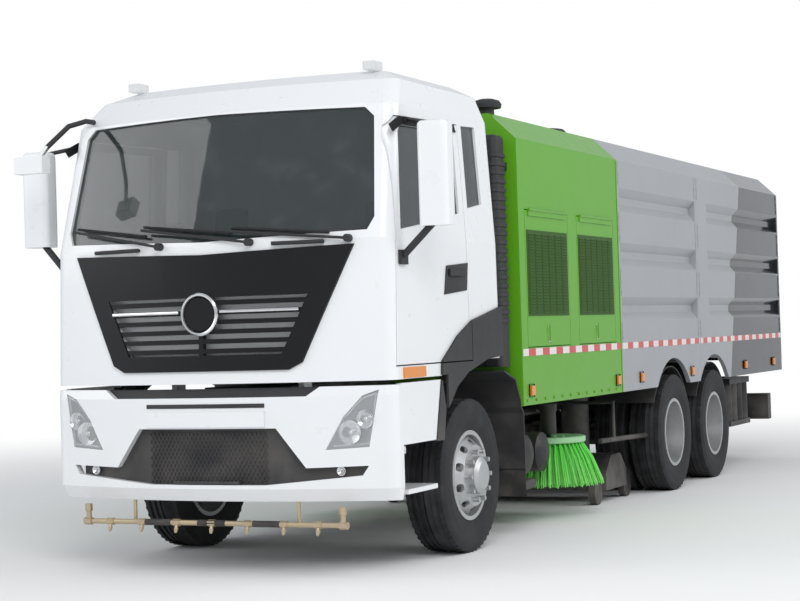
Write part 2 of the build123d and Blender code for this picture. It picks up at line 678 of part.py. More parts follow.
# Round roof hatch lid and its clamp
with BuildPart() as roof_hatch:
    base = ROOF_Z + PLAY
    with Locations((HATCH[0], behind(HATCH[1]), base + 24)):
        Cylinder(HATCH_RADIUS, 48)
    chamfer(roof_hatch.edges().filter_by(GeomType.CIRCLE).sort_by(Axis.Z)[-1], 18)
    block((HATCH[0] - 24, HATCH[0] + 24), (behind(HATCH[1] - HATCH_RADIUS - 34), behind(HATCH[1] + HATCH_RADIUS + 18)),
          (base + 40, base + 66))
write("roof_hatch", roof_hatch)

# Air intake behind the cab: ribbed duct, and the mushroom cap on the green roof
DUCT_X = (1045.0, 1200.0)
DUCT_Y = (520.0, 700.0)
DUCT_Z = (1240.0, 2890.0)
DUCT_RIBS = 20
with BuildPart() as air_intake:
    block(DUCT_X, (behind(DUCT_Y[0]), behind(DUCT_Y[1])), DUCT_Z)
    fillet(air_intake.edges().filter_by(Axis.Z), 40)
    fillet(air_intake.edges().group_by(Axis.Z)[-1], 38)
    rib_pitch = 62.0
    for rib in range(DUCT_RIBS):
        height = DUCT_Z[1] - 160 - rib * rib_pitch
        with BuildSketch(Plane.XY.offset(height)):
            with Locations(((DUCT_X[0] + DUCT_X[1]) / 2, behind((DUCT_Y[0] + DUCT_Y[1]) / 2))):
                RectangleRounded(DUCT_X[1] - DUCT_X[0] + 20, DUCT_Y[1] - DUCT_Y[0] + 20, 48)
        extrude(amount=26)
    block((DUCT_X[0] + 20, DUCT_X[1] - 20), (behind(DUCT_Y[1] - 6), behind(GREEN_SPAN[0])), (2650, 2700))
    block((200, DUCT_X[0] + 60), (behind(DUCT_Y[0] + 20), behind(DUCT_Y[1] - 20)), (DUCT_Z[0], DUCT_Z[0] + 140))
    block((200, 340), (behind(440), behind(DUCT_Y[1] - 20)), (ENGINE_TOP + PLAY, DUCT_Z[0] + 140))
with BuildPart() as intake_cap:
    with BuildSketch(Plane(origin=(INTAKE_CAP[0], behind(INTAKE_CAP[1]), 0), x_dir=(1, 0, 0), z_dir=(0, -1, 0))):
        with BuildLine():
            Polyline(
                (0, ROOF_Z), (56, ROOF_Z), (56, ROOF_Z + 62), (106, ROOF_Z + 50), (112, ROOF_Z + 78),
                (94, ROOF_Z + 104), (50, ROOF_Z + 118), (0, ROOF_Z + 122), close=True,
            )
        make_face()
    revolve(axis=Axis((INTAKE_CAP[0], behind(INTAKE_CAP[1]), 0), (0, 0, 1)))
write("air_intake", joined(air_intake, intake_cap))

# Grey water tank module, solid, with grooved sides and a skirt over the first bogie wheel
GROOVE_END = 40.0
with BuildPart() as water_tank:
    add(body_prism(TANK_SPAN, TANK_FLOOR))
    grooves((TANK_SPAN[0] + GROOVE_END, TANK_SPAN[1] - GROOVE_END))
    for x in both_sides((BODY_HALF_WIDTH - BODY_WALL, BODY_HALF_WIDTH)):
        block(x, (behind(TANK_SPAN[0]), behind(TANK_SPAN[1])), (SKIRT_Z, TANK_FLOOR + 1))
    arches()
    for x in both_sides((FRAME_HALF_WIDTH - RAIL_FLANGE, FRAME_HALF_WIDTH)):
        block(x, (behind(TANK_SPAN[0] + 20), behind(TANK_SPAN[1] - 20)), (BEARER_TOP, TANK_FLOOR + 1))
write("water_tank", water_tank)

# Tipping refuse hopper: hollow, open at the rear, on two stringers
POST_SPAN = (5450.0, 5810.0)
HOPPER_WALL = 60.0
CYLINDER_X = 540.0
ROD_EYE = (6200.0, 1010.0)
BARREL_EYE = (7500.0, 830.0)
DOOR_PIVOT = (8752.0, 3052.0)
DOOR_PIN_RADIUS = 8.0
DOOR_HINGE_X = 620.0
with BuildPart() as hopper:
    add(body_prism(HOPPER_SPAN, SKIRT_Z))
    block(
        (-BODY_HALF_WIDTH + BODY_WALL, BODY_HALF_WIDTH - BODY_WALL),
        (behind(HOPPER_SPAN[0]) - 1, behind(HOPPER_SPAN[1]) + 1), (SKIRT_Z - 1, HOPPER_FLOOR), mode=Mode.SUBTRACT,
    )
    with BuildSketch(Plane.XZ.offset(-behind(HOPPER_SPAN[1]) - 1)):
        inner_half = BODY_HALF_WIDTH - HOPPER_WALL - GROOVE_DEPTH
        with BuildLine():
            Polyline(
                (-inner_half, HOPPER_FLOOR + 50), (inner_half, HOPPER_FLOOR + 50), (inner_half, SHOULDER_Z - 60),
                (ROOF_HALF_WIDTH - 60, ROOF_Z - 60), (-ROOF_HALF_WIDTH + 60, ROOF_Z - 60),
                (-inner_half, SHOULDER_Z - 60), close=True,
            )
        make_face()
    extrude(amount=HOPPER_SPAN[1] - HOPPER_SPAN[0] - HOPPER_WALL + 1, mode=Mode.SUBTRACT)
    grooves((POST_SPAN[1], HOPPER_SPAN[1] + 2))
    arches()
    for side in (-1, 1):
        stringer = sorted((side * (FRAME_HALF_WIDTH - RAIL_FLANGE), side * FRAME_HALF_WIDTH))
        block(stringer, (behind(HOPPER_SPAN[0] + 20), behind(8240)), (BEARER_TOP + PLAY, HOPPER_FLOOR + 1))
        lug = sorted((side * (FRAME_HALF_WIDTH + 6), side * (FRAME_HALF_WIDTH + 36)))
        side_plate(
            ((TIP_PIVOT[0] - 90, HOPPER_FLOOR + 1), (TIP_PIVOT[0] - 52, TIP_PIVOT[1] - 44),
             (TIP_PIVOT[0] + 52, TIP_PIVOT[1] - 44), (TIP_PIVOT[0] + 90, HOPPER_FLOOR + 1)),
            lug,
        )
        bar(
            (side * (FRAME_HALF_WIDTH - 60), behind(TIP_PIVOT[0]), TIP_PIVOT[1]),
            (side * (FRAME_HALF_WIDTH + 20), behind(TIP_PIVOT[0]), TIP_PIVOT[1]),
            TIP_PIN_RADIUS,
        )
        for low in (-62, 42):
            ear = sorted((side * (CYLINDER_X + low), side * (CYLINDER_X + low + 20)))
            side_plate(
                ((ROD_EYE[0] - 80, HOPPER_FLOOR + 1), (ROD_EYE[0] - 40, ROD_EYE[1] - 36),
                 (ROD_EYE[0] + 40, ROD_EYE[1] - 36), (ROD_EYE[0] + 80, HOPPER_FLOOR + 1)),
                ear,
            )
with BuildPart() as hinge_ears:
    for side in (-1, 1):
        for inner in (36, -52):
            x = (side * DOOR_HINGE_X + inner, side * DOOR_HINGE_X + inner + 16)
            block(x, (behind(HOPPER_SPAN[1] - 2), behind(DOOR_PIVOT[0] + 14)), (DOOR_PIVOT[1] - 15, DOOR_PIVOT[1] + 15))
        bar((side * DOOR_HINGE_X - 50, behind(DOOR_PIVOT[0]), DOOR_PIVOT[1]),
            (side * DOOR_HINGE_X + 50, behind(DOOR_PIVOT[0]), DOOR_PIVOT[1]), DOOR_PIN_RADIUS)
write("hopper", joined(hopper, hinge_ears))

# Rear door of the hopper, hung at its top, with ribs
with BuildPart() as rear_door:
    door_front = HOPPER_SPAN[1] + 6
    with BuildSketch(Plane.XZ.offset(-behind(door_front + 50))):
        with BuildLine():
            Polyline(
                (-BODY_HALF_WIDTH + 12, 1065), (BODY_HALF_WIDTH - 12, 1065), (BODY_HALF_WIDTH - 12, SHOULDER_Z - 12),
                (ROOF_HALF_WIDTH - 12, ROOF_Z - 50), (-ROOF_HALF_WIDTH + 12, ROOF_Z - 50),
                (-BODY_HALF_WIDTH + 12, SHOULDER_Z - 12), close=True,
            )
        make_face()
    extrude(amount=50)
    for x in (-820, 0, 820):
        block((x - 45, x + 45), (behind(door_front + 49), behind(LENGTH_BEHIND)), (1110, 2860))
    for height in (1110, 1960, 2780):
        block((-1130, 1130), (behind(door_front + 49), behind(LENGTH_BEHIND)), (height, height + 80))
    for x in (-DOOR_HINGE_X, DOOR_HINGE_X):
        bar((x - 30, behind(DOOR_PIVOT[0]), DOOR_PIVOT[1]), (x + 30, behind(DOOR_PIVOT[0]), DOOR_PIVOT[1]), 16)
        block((x - 30, x + 30), (behind(DOOR_PIVOT[0] - 10), behind(DOOR_PIVOT[0] + 14)), (ROOF_Z - 52, DOOR_PIVOT[1] - 2))
        bar((x - 31, behind(DOOR_PIVOT[0]), DOOR_PIVOT[1]), (x + 31, behind(DOOR_PIVOT[0]), DOOR_PIVOT[1]),
            DOOR_PIN_RADIUS + PLAY, mode=Mode.SUBTRACT)
write("rear_door", rear_door)

# Tipping cylinders: barrels hung on the frame, rods under the hopper floor
BARREL_RADIUS = 55.0
ROD_RADIUS = 34.0
CYLINDER_LENGTH = ((BARREL_EYE[0] - ROD_EYE[0]) ** 2 + (ROD_EYE[1] - BARREL_EYE[1]) ** 2) ** 0.5


def along_cylinder(reach, x=CYLINDER_X):
    """Point on a tipping cylinder's axis, this far from its frame eye towards the rod's eye."""
    share = reach / CYLINDER_LENGTH
    distance = BARREL_EYE[0] + (ROD_EYE[0] - BARREL_EYE[0]) * share
    height = BARREL_EYE[1] + (ROD_EYE[1] - BARREL_EYE[1]) * share
    return (x, behind(distance), height)


with BuildPart() as tip_barrel_left:
    bar(along_cylinder(40), along_cylinder(CYLINDER_LENGTH - 150), BARREL_RADIUS)
    bar(along_cylinder(0, CYLINDER_X - 30), along_cylinder(0, CYLINDER_X + 30), 52)
    bar(along_cylinder(120), along_cylinder(CYLINDER_LENGTH - 149), ROD_RADIUS + PLAY, mode=Mode.SUBTRACT)
    bar(along_cylinder(0, CYLINDER_X - 31), along_cylinder(0, CYLINDER_X + 31), 25 + PLAY, mode=Mode.SUBTRACT)
with BuildPart() as tip_rod_left:
    bar(along_cylinder(126), along_cylinder(CYLINDER_LENGTH), ROD_RADIUS)
    bar(along_cylinder(CYLINDER_LENGTH, CYLINDER_X - 24), along_cylinder(CYLINDER_LENGTH, CYLINDER_X + 24), 46)
with BuildPart() as tip_barrels:
    add(tip_barrel_left.part)
    add(mirrored(tip_barrel_left).part)
with BuildPart() as tip_rods:
    add(tip_rod_left.part)
    add(mirrored(tip_rod_left).part)
write("tip_barrels", tip_barrels)
write("tip_rods", tip_rods)

# Pins of the tipping cylinders on the frame
with BuildPart() as tip_brackets:
    for side in (-1, 1):
        plate = sorted((side * FRAME_HALF_WIDTH, side * (FRAME_HALF_WIDTH + 24)))
        side_plate(
            ((BARREL_EYE[0] - 110, 1000), (BARREL_EYE[0] - 50, BARREL_EYE[1] - 50),
             (BARREL_EYE[0] + 50, BARREL_EYE[1] - 50), (BARREL_EYE[0] + 110, 1000)),
            plate,
        )
        bar((side * FRAME_HALF_WIDTH, behind(BARREL_EYE[0]), BARREL_EYE[1]),
            (side * (CYLINDER_X + 34), behind(BARREL_EYE[0]), BARREL_EYE[1]), 25)

# Side brush of the left side: swinging arm, drive motor and the tufted disc
BRUSH_CENTRE = (905.0, 2200.0)
BRUSH_PLATE_Z = (585.0, 645.0)
BRUSH_PLATE_RADIUS = 280.0
BRUSH_TIP_Z = 260.0
BRUSH_TIP_RADIUS = 430.0
BRUSH_PIVOT = (520.0, 2900.0)
BRUSH_ARM_Z = (840.0, 900.0)
BRUSH_PIN_RADIUS = 25.0
with BuildPart() as brush_bracket:
    for side in (-1, 1):
        plate = sorted((side * FRAME_HALF_WIDTH, side * (FRAME_HALF_WIDTH + 22)))
        span = (behind(BRUSH_PIVOT[1] - 80), behind(BRUSH_PIVOT[1] + 80))
        block(plate, span, (RAIL_BOTTOM + 4, RAIL_TOP - 6))
        reach = sorted((side * FRAME_HALF_WIDTH, side * (BRUSH_PIVOT[0] + 50)))
        block(reach, span, (BRUSH_ARM_Z[0] - 36, BRUSH_ARM_Z[0] - 6))
        block(reach, span, (BRUSH_ARM_Z[1] + 6, BRUSH_ARM_Z[1] + 36))
        with Locations((side * BRUSH_PIVOT[0], behind(BRUSH_PIVOT[1]), (BRUSH_ARM_Z[0] + BRUSH_ARM_Z[1]) / 2)):
            Cylinder(BRUSH_PIN_RADIUS, BRUSH_ARM_Z[1] - BRUSH_ARM_Z[0] + 60)
write("chassis_frame", joined(chassis_frame, towing_jaw, tip_brackets, brush_bracket))
with BuildPart() as brush_arm:
    run = Vector(BRUSH_CENTRE[0] - BRUSH_PIVOT[0], BRUSH_CENTRE[1] - BRUSH_PIVOT[1])
    middle = ((BRUSH_CENTRE[0] + BRUSH_PIVOT[0]) / 2, behind((BRUSH_CENTRE[1] + BRUSH_PIVOT[1]) / 2))
    slant = degrees(atan2(run.Y, run.X))
    with BuildSketch(Plane.XY.offset(BRUSH_ARM_Z[0])):
        with Locations(middle):
            Rectangle(run.length, 80, rotation=slant)
        with Locations((BRUSH_PIVOT[0], behind(BRUSH_PIVOT[1]))):
            Circle(52)
        with Locations((BRUSH_CENTRE[0], behind(BRUSH_CENTRE[1]))):
            Circle(70)
        with Locations((BRUSH_PIVOT[0], behind(BRUSH_PIVOT[1]))):
            Circle(BRUSH_PIN_RADIUS + PLAY, mode=Mode.SUBTRACT)
    extrude(amount=BRUSH_ARM_Z[1] - BRUSH_ARM_Z[0])
    with Locations((BRUSH_CENTRE[0], behind(BRUSH_CENTRE[1]), (BRUSH_PLATE_Z[1] + BRUSH_ARM_Z[0]) / 2 + 8)):
        Cylinder(62, BRUSH_ARM_Z[0] - BRUSH_PLATE_Z[1] - 14)
    with Locations((BRUSH_CENTRE[0], behind(BRUSH_CENTRE[1]), BRUSH_PLATE_Z[1] - 4)):
        Cylinder(20, 60)
write("brush_arm_left", brush_arm)
write("brush_arm_right", mirrored(brush_arm))
with BuildPart() as side_brush:
    centre = (BRUSH_CENTRE[0], behind(BRUSH_CENTRE[1]), 0)
    with BuildSketch(Plane(origin=centre, x_dir=(1, 0, 0), z_dir=(0, -1, 0))):
        with BuildLine():
            root = BRUSH_PLATE_Z[0]
            Polyline(
                (20 + PLAY, BRUSH_PLATE_Z[1]), (BRUSH_PLATE_RADIUS, BRUSH_PLATE_Z[1]),
                (BRUSH_PLATE_RADIUS + 12, root), (BRUSH_TIP_RADIUS, BRUSH_TIP_Z + 60),
                (BRUSH_TIP_RADIUS - 50, BRUSH_TIP_Z), (BRUSH_PLATE_RADIUS - 70, root), (20 + PLAY, root), close=True,
            )
        make_face()
    revolve(axis=Axis(centre, (0, 0, 1)))
write("side_brush_left", side_brush)
write("side_brush_right", mirrored(side_brush))

# Suction nozzle ahead of the bogie: hood open below, two ducts up to the body, castors
NOZZLE_Y = (3300.0, 3850.0)
NOZZLE_HALF_WIDTH = 1000.0
NOZZLE_Z = (110.0, 400.0)
NOZZLE_WALL = 14.0
SUCTION_DUCT_X = 640.0
SUCTION_DUCT_RADIUS = 120.0
CASTOR_RADIUS = 100.0
with BuildPart() as suction_nozzle:
    side_plate(
        ((NOZZLE_Y[0], NOZZLE_Z[0]), (NOZZLE_Y[1], NOZZLE_Z[0]), (NOZZLE_Y[1], 260),
         (NOZZLE_Y[1] - 150, NOZZLE_Z[1]), (NOZZLE_Y[0] + 150, NOZZLE_Z[1]), (NOZZLE_Y[0], 260)),
        (-NOZZLE_HALF_WIDTH, NOZZLE_HALF_WIDTH),
    )
    side_plate(
        ((NOZZLE_Y[0] + NOZZLE_WALL, NOZZLE_Z[0] - 1), (NOZZLE_Y[1] - NOZZLE_WALL, NOZZLE_Z[0] - 1),
         (NOZZLE_Y[1] - NOZZLE_WALL, 254), (NOZZLE_Y[1] - 156, NOZZLE_Z[1] - NOZZLE_WALL),
         (NOZZLE_Y[0] + 156, NOZZLE_Z[1] - NOZZLE_WALL), (NOZZLE_Y[0] + NOZZLE_WALL, 254)),
        (-NOZZLE_HALF_WIDTH + NOZZLE_WALL, NOZZLE_HALF_WIDTH - NOZZLE_WALL), mode=Mode.SUBTRACT,
    )
    duct_y = behind((NOZZLE_Y[0] + NOZZLE_Y[1]) / 2)
    for side in (-1, 1):
        bar((side * SUCTION_DUCT_X, duct_y, NOZZLE_Z[1] - 6), (side * SUCTION_DUCT_X, duct_y, TANK_FLOOR - PLAY),
            SUCTION_DUCT_RADIUS)
        castor_x = side * (NOZZLE_HALF_WIDTH - 60)
        for distance in (NOZZLE_Y[0] - 120, NOZZLE_Y[1] + 110):
            bar((castor_x - 30, behind(distance), CASTOR_RADIUS), (castor_x + 30, behind(distance), CASTOR_RADIUS),
                CASTOR_RADIUS - 1)
            inward = 130 if distance < NOZZLE_Y[0] else -120
            block((castor_x - 45, castor_x - 31), sorted((behind(distance), behind(distance + inward))), (90, 240))
            block((castor_x - 46, castor_x + 4), (behind(distance - 14), behind(distance + 14)),
                  (CASTOR_RADIUS - 14, CASTOR_RADIUS + 14))
write("suction_nozzle", suction_nozzle)

# Amber lamps and rear fittings
LAMP_STATIONS = (944.0, 2936.0, 3580.0, 5140.0)
HOPPER_LAMPS = (7100.0, 8300.0)
LAMP_Z = (1020.0, 1090.0)
for name, stations in (("side_lamps", LAMP_STATIONS), ("hopper_lamps", HOPPER_LAMPS)):
    with BuildPart() as lamps:
        for station in stations:
            for x in both_sides((BODY_HALF_WIDTH, BODY_HALF_WIDTH + 22)):
                block(x, (behind(station - 36), behind(station + 36)), LAMP_Z)
    write(name, lamps)

# Rear bumper beam on two drop arms, with its lamp boxes
UNDERRIDE_Y = (8440.0, 8570.0)
UNDERRIDE_Z = (420.0, 700.0)
with BuildPart() as rear_underride:
    block((-1150, 1150), (behind(UNDERRIDE_Y[0]), behind(UNDERRIDE_Y[1])), UNDERRIDE_Z)
    for x in both_sides((FRAME_HALF_WIDTH, FRAME_HALF_WIDTH + 20)):
        side_plate(
            ((8120, 1000), (8120, 800), (UNDERRIDE_Y[0] - 40, UNDERRIDE_Z[0] + 40), (UNDERRIDE_Y[0] + 2, UNDERRIDE_Z[0] + 40),
             (UNDERRIDE_Y[0] + 2, UNDERRIDE_Z[1] - 20), (8240, 1000)),
            x,
        )
write("rear_underride", rear_underride)

# Four upright pipes and their catch box under the hopper's left side
PIPE_STATIONS = (6930.0, 7140.0, 7350.0, 7560.0)
with BuildPart() as rear_pipes:
    for station in PIPE_STATIONS:
        bar((1080, behind(station), 470), (1080, behind(station), 900), 62)
    block((1010, 1150), (behind(6850), behind(7640)), (430, 480))
    block((FRAME_HALF_WIDTH, 1100), (behind(7620), behind(7640)), (880, 920))
    block((1010, 1150), (behind(6850), behind(7640)), (860, 920))

# Bogie mudguards: thin rings over the twin wheels, carried by bars from the frame
GUARD_RADIUS = 588.0
GUARD_WALL = 10.0
with BuildPart() as mudguards:
    for distance in (BOGIE_DISTANCE, BOGIE_DISTANCE + BOGIE_SPREAD):
        for x in both_sides((640, 1200)):
            with BuildSketch(Plane.YZ.offset(x[0])):
                with Locations((behind(distance), TYRE_RADIUS)):
                    Circle(GUARD_RADIUS + GUARD_WALL)
                    Circle(GUARD_RADIUS, mode=Mode.SUBTRACT)
                with Locations((behind(distance), TYRE_RADIUS - GUARD_RADIUS / 2)):
                    Rectangle(3 * GUARD_RADIUS, 2 * GUARD_RADIUS - 10, mode=Mode.SUBTRACT)
            extrude(amount=x[1] - x[0])
        for x in both_sides((FRAME_HALF_WIDTH, 900)):
            block(x, (behind(distance - 20), behind(distance + 20)), (1076, 1098))
            post = (x[0], x[0] + 60) if x[0] < 0 else (x[1] - 60, x[1])
            block(post, (behind(distance - 20), behind(distance + 20)), (1096, 1112))

# Cab: plan sections from the sill to the roof, joined by ruled faces
# Columns: height, front at the middle, front at the corner, half width, rear (behind the axle)
CAB_SECTIONS = (
    (1220.0, -1570.0, -1395.0, 1245.0, 420.0),
    (2100.0, -1540.0, -1365.0, 1238.0, 420.0),
    (2950.0, -1300.0, -1150.0, 1190.0, 410.0),
    (3130.0, -1080.0, -960.0, 1120.0, 400.0),
    (3210.0, -860.0, -790.0, 960.0, 380.0),
)
CAB_WALL = 60.0
CAB_FLOOR_Z = 1320.0
CAB_SILL_Z = 1220.0
DOOR_GAP = 9.0
DOOR_INNER_X = 1125.0


def cab_layer(inset, floor=None):
    """Solid with the cab's outer form, moved inwards all round by the inset."""
    rings = []
    for row, (height, front, corner, half, rear) in enumerate(CAB_SECTIONS):
        level = height - (inset if row == len(CAB_SECTIONS) - 1 else inset / 2 if row > 1 else 0)
        if row == 0 and floor is not None:
            level = floor
        w = half - inset
        with BuildSketch(Plane.XY.offset(level)) as ring:
            with BuildLine():
                start = behind(front + inset)
                side_start = behind(corner + inset)
                end = behind(rear - inset)
                ThreePointArc((-w + 75, side_start), (0, start), (w - 75, side_start))
                ThreePointArc((w - 75, side_start), (w - 20, side_start + 34), (w, side_start + 110))
                Line((w, side_start + 110), (w, end - 70))
                ThreePointArc((w, end - 70), (w - 20, end - 20), (w - 70, end))
                Line((w - 70, end), (-w + 70, end))
                ThreePointArc((-w + 70, end), (-w + 20, end - 20), (-w, end - 70))
                Line((-w, end - 70), (-w, side_start + 110))
                ThreePointArc((-w, side_start + 110), (-w + 20, side_start + 34), (-w + 75, side_start))
            make_face()
        rings.append(ring.sketch)
    return loft(rings, ruled=True, mode=Mode.PRIVATE)


def cab_skin(outside, inside):
    """Hollow layer of the cab's form between two insets."""
    with BuildPart() as skin:
        add(cab_layer(outside))
        add(cab_layer(inside, CAB_SILL_Z - 1), mode=Mode.SUBTRACT)
    return skin.part


def side_prism(points, x, gap=0.0):
    """Prism across the vehicle from an outline (distance behind the axle, height), less a gap."""
    corners = [(behind(distance), height) for distance, height in points]
    with BuildSketch(Plane.YZ.offset(x[0])) as outline:
        with BuildLine():
            Polyline(*corners, close=True)
        make_face()
        if gap:
            offset(amount=-gap, kind=Kind.INTERSECTION)
    return extrude(outline.sketch, amount=x[1] - x[0], mode=Mode.PRIVATE)


def front_prism(points, y, gap=0.0):
    """Prism along the vehicle from an outline (x, height), less a gap all round."""
    with BuildSketch(Plane.XZ.offset(-behind(y[1]))) as outline:
        with BuildLine():
            Polyline(*points, close=True)
        make_face()
        if gap:
            offset(amount=-gap, kind=Kind.INTERSECTION)
    return extrude(outline.sketch, amount=y[1] - y[0], mode=Mode.PRIVATE)


DOOR_OUTLINE = (
    (-1330.0, 1300.0), (-155.0, 1300.0), (-155.0, 2895.0), (-1130.0, 2870.0), (-1200.0, 2790.0), (-1285.0, 2080.0),
)
WINDOW_OUTLINE = (
    (-1195.0, 2150.0), (-820.0, 2200.0), (-240.0, 2290.0), (-240.0, 2835.0), (-1085.0, 2815.0), (-1120.0, 2770.0),
)
QUARTER_OUTLINE = ((-90.0, 2330.0), (165.0, 2370.0), (150.0, 2900.0), (-90.0, 2890.0))
WINDSHIELD_OUTLINE = (
    (-1128.0, 2230.0), (-1090.0, 2150.0), (0.0, 2115.0), (1090.0, 2150.0), (1128.0, 2230.0),
    (1072.0, 2870.0), (1010.0, 2930.0), (0.0, 2945.0), (-1010.0, 2930.0), (-1072.0, 2870.0),
)
PANEL_OUTLINE = (
    (-600.0, 1300.0), (600.0, 1300.0), (690.0, 1345.0), (830.0, 1650.0), (1020.0, 2065.0),
    (0.0, 2035.0), (-1020.0, 2065.0), (-830.0, 1650.0), (-690.0, 1345.0),
)
GRILLE_OUTLINE = ((-560.0, 1400.0), (560.0, 1400.0), (730.0, 1765.0), (-730.0, 1765.0))
GLASS_INSET = 16.0
GLASS_THICKNESS = 8.0
SIDE_REACH = (DOOR_INNER_X, 1300.0)
RIGHT_REACH = (-1300.0, -DOOR_INNER_X)
FRONT_REACH = (-1700.0, -1000.0)
PANEL_PROUD = 16.0
SLATS = 6

# Cab shell: floor, walls and roof in one, with the door and window openings cut
with BuildPart() as cab_shell:
    add(cab_layer(0))
    add(cab_layer(CAB_WALL, CAB_FLOOR_Z), mode=Mode.SUBTRACT)
    for reach in (SIDE_REACH, RIGHT_REACH):
        add(side_prism(DOOR_OUTLINE, reach), mode=Mode.SUBTRACT)
        add(side_prism(QUARTER_OUTLINE, reach), mode=Mode.SUBTRACT)
    add(front_prism(WINDSHIELD_OUTLINE, FRONT_REACH), mode=Mode.SUBTRACT)
    for x in both_sides((560, 1300)):
        block(x, (behind(-650), behind(430)), (CAB_SILL_Z - 1, CAB_FLOOR_Z - 12), mode=Mode.SUBTRACT)
    with BuildPart(mode=Mode.PRIVATE) as grille_pocket:
        add(cab_layer(-30, CAB_SILL_Z - 1))
        add(cab_layer(44, CAB_SILL_Z - 1), mode=Mode.SUBTRACT)
        add(front_prism(GRILLE_OUTLINE, FRONT_REACH), mode=Mode.INTERSECT)
    add(grille_pocket.part, mode=Mode.SUBTRACT)
    for side in (-1, 1):
        arm = sorted((side * (TILT_ARM_X - TILT_ARM_WIDTH / 2), side * (TILT_ARM_X + TILT_ARM_WIDTH / 2)))
        side_plate(
            ((-TILT_PIVOT_AHEAD, TILT_PIVOT_Z - 30), (-TILT_ARM_BACK, TILT_PIVOT_Z - 30), (-TILT_ARM_BACK, CAB_SILL_Z + 1),
             (-TILT_ARM_BACK - 110, CAB_SILL_Z + 1), (-TILT_ARM_BACK - 90, TILT_PIVOT_Z + 30),
             (-TILT_PIVOT_AHEAD, TILT_PIVOT_Z + 30)),
            arm,
        )
        pivot_y = behind(-TILT_PIVOT_AHEAD)
        bar((arm[0], pivot_y, TILT_PIVOT_Z), (arm[1], pivot_y, TILT_PIVOT_Z), 44)
        bar((arm[0] - 1, pivot_y, TILT_PIVOT_Z), (arm[1] + 1, pivot_y, TILT_PIVOT_Z), TILT_PIN_RADIUS + PLAY,
            mode=Mode.SUBTRACT)
write("cab_shell", cab_shell)

# Black front panel over the nose, with the grille's slats
with BuildPart() as front_panel:
    add(cab_layer(-PANEL_PROUD, CAB_SILL_Z - 1))
    add(cab_layer(-PLAY, CAB_SILL_Z - 2), mode=Mode.SUBTRACT)
    add(front_prism(PANEL_OUTLINE, FRONT_REACH), mode=Mode.INTERSECT)
    add(front_prism(GRILLE_OUTLINE, FRONT_REACH), mode=Mode.SUBTRACT)
with BuildPart() as slats:
    add(cab_layer(-PANEL_PROUD + 6, CAB_SILL_Z - 1))
    add(cab_layer(26, CAB_SILL_Z - 2), mode=Mode.SUBTRACT)
    with BuildPart(mode=Mode.PRIVATE) as bands:
        low, high = GRILLE_OUTLINE[0][1], GRILLE_OUTLINE[2][1]
        pitch = (high - low) / SLATS
        for row in range(SLATS):
            block((-760, 760), (behind(-1700), behind(-1300)), (low + row * pitch + 12, low + row * pitch + 42))
        block((-16, 16), (behind(-1700), behind(-1300)), (low, high))
    add(bands.part, mode=Mode.INTERSECT)
    add(front_prism(GRILLE_OUTLINE, FRONT_REACH, PLAY), mode=Mode.INTERSECT)
write("front_panel", joined(front_panel, slats))

# Windscreen and the two quarter windows
with BuildPart() as windscreen:
    add(cab_skin(GLASS_INSET, GLASS_INSET + GLASS_THICKNESS))
    add(front_prism(WINDSHIELD_OUTLINE, FRONT_REACH, PLAY), mode=Mode.INTERSECT)
with BuildPart() as quarter_glass:
    add(cab_skin(GLASS_INSET, GLASS_INSET + GLASS_THICKNESS))
    with BuildPart(mode=Mode.PRIVATE) as both_quarters:
        for reach in (SIDE_REACH, RIGHT_REACH):
            add(side_prism(QUARTER_OUTLINE, reach, PLAY))
    add(both_quarters.part, mode=Mode.INTERSECT)
write("cab_glass", joined(windscreen, quarter_glass))

FLARE_X = (1245.3, 1262.0)
FLARE_OUTLINE = (
    (-668.0, 1226.0), (-657.0, 1315.0), (-538.0, 1385.0), (-391.0, 1474.0), (-143.0, 1573.0), (384.0, 1667.0),
    (405.0, 1324.0), (108.0, 1307.0), (-244.0, 1228.0), (-429.0, 1142.0), (-541.0, 1046.0), (-582.0, 1010.0),
    (-582.0, 1226.0),
)

# Left door as thick as the wall, its glass, its mirror on two arms and its share of the wheel-arch flare
with BuildPart() as door_left:
    add(cab_skin(0, CAB_WALL))
    add(side_prism(DOOR_OUTLINE, SIDE_REACH, DOOR_GAP), mode=Mode.INTERSECT)
    add(side_prism(WINDOW_OUTLINE, SIDE_REACH), mode=Mode.SUBTRACT)
with BuildPart() as door_glass_left:
    add(cab_skin(GLASS_INSET, GLASS_INSET + GLASS_THICKNESS))
    add(side_prism(WINDOW_OUTLINE, SIDE_REACH, PLAY), mode=Mode.INTERSECT)
MIRROR_X = (1380.0, 1580.0)
MIRROR_Y = (-1255.0, -1105.0)
MIRROR_Z = (2160.0, 2810.0)
with BuildPart() as mirror_left:
    block(MIRROR_X, (behind(MIRROR_Y[0]), behind(MIRROR_Y[1])), MIRROR_Z)
    fillet(mirror_left.edges().filter_by(Axis.Z), 40)
    fillet(mirror_left.edges().group_by(Axis.Z)[-1], 30)
    bar((1261, behind(-1213), 1986), (1450, behind(-1185), 2175), 20)
    bar((1212, behind(-1000), 2853), (1450, behind(-1160), 2795), 12)
    block((1239.7, 1262), (behind(-1250), behind(-1150)), (1930, 2020))
    block((1201.5, 1218), (behind(-1030), behind(-970)), (2838, 2868))
with BuildPart() as door_flare_left:
    side_plate(FLARE_OUTLINE, FLARE_X)
    add(side_prism(DOOR_OUTLINE, SIDE_REACH, DOOR_GAP), mode=Mode.INTERSECT)
door_trim_left = joined(mirror_left, door_flare_left)
for name, piece in (("door", door_left), ("door_glass", door_glass_left), ("door_mirror", door_trim_left)):
    write(f"{name}_left", piece)
    write(f"{name}_right", mirrored(piece))

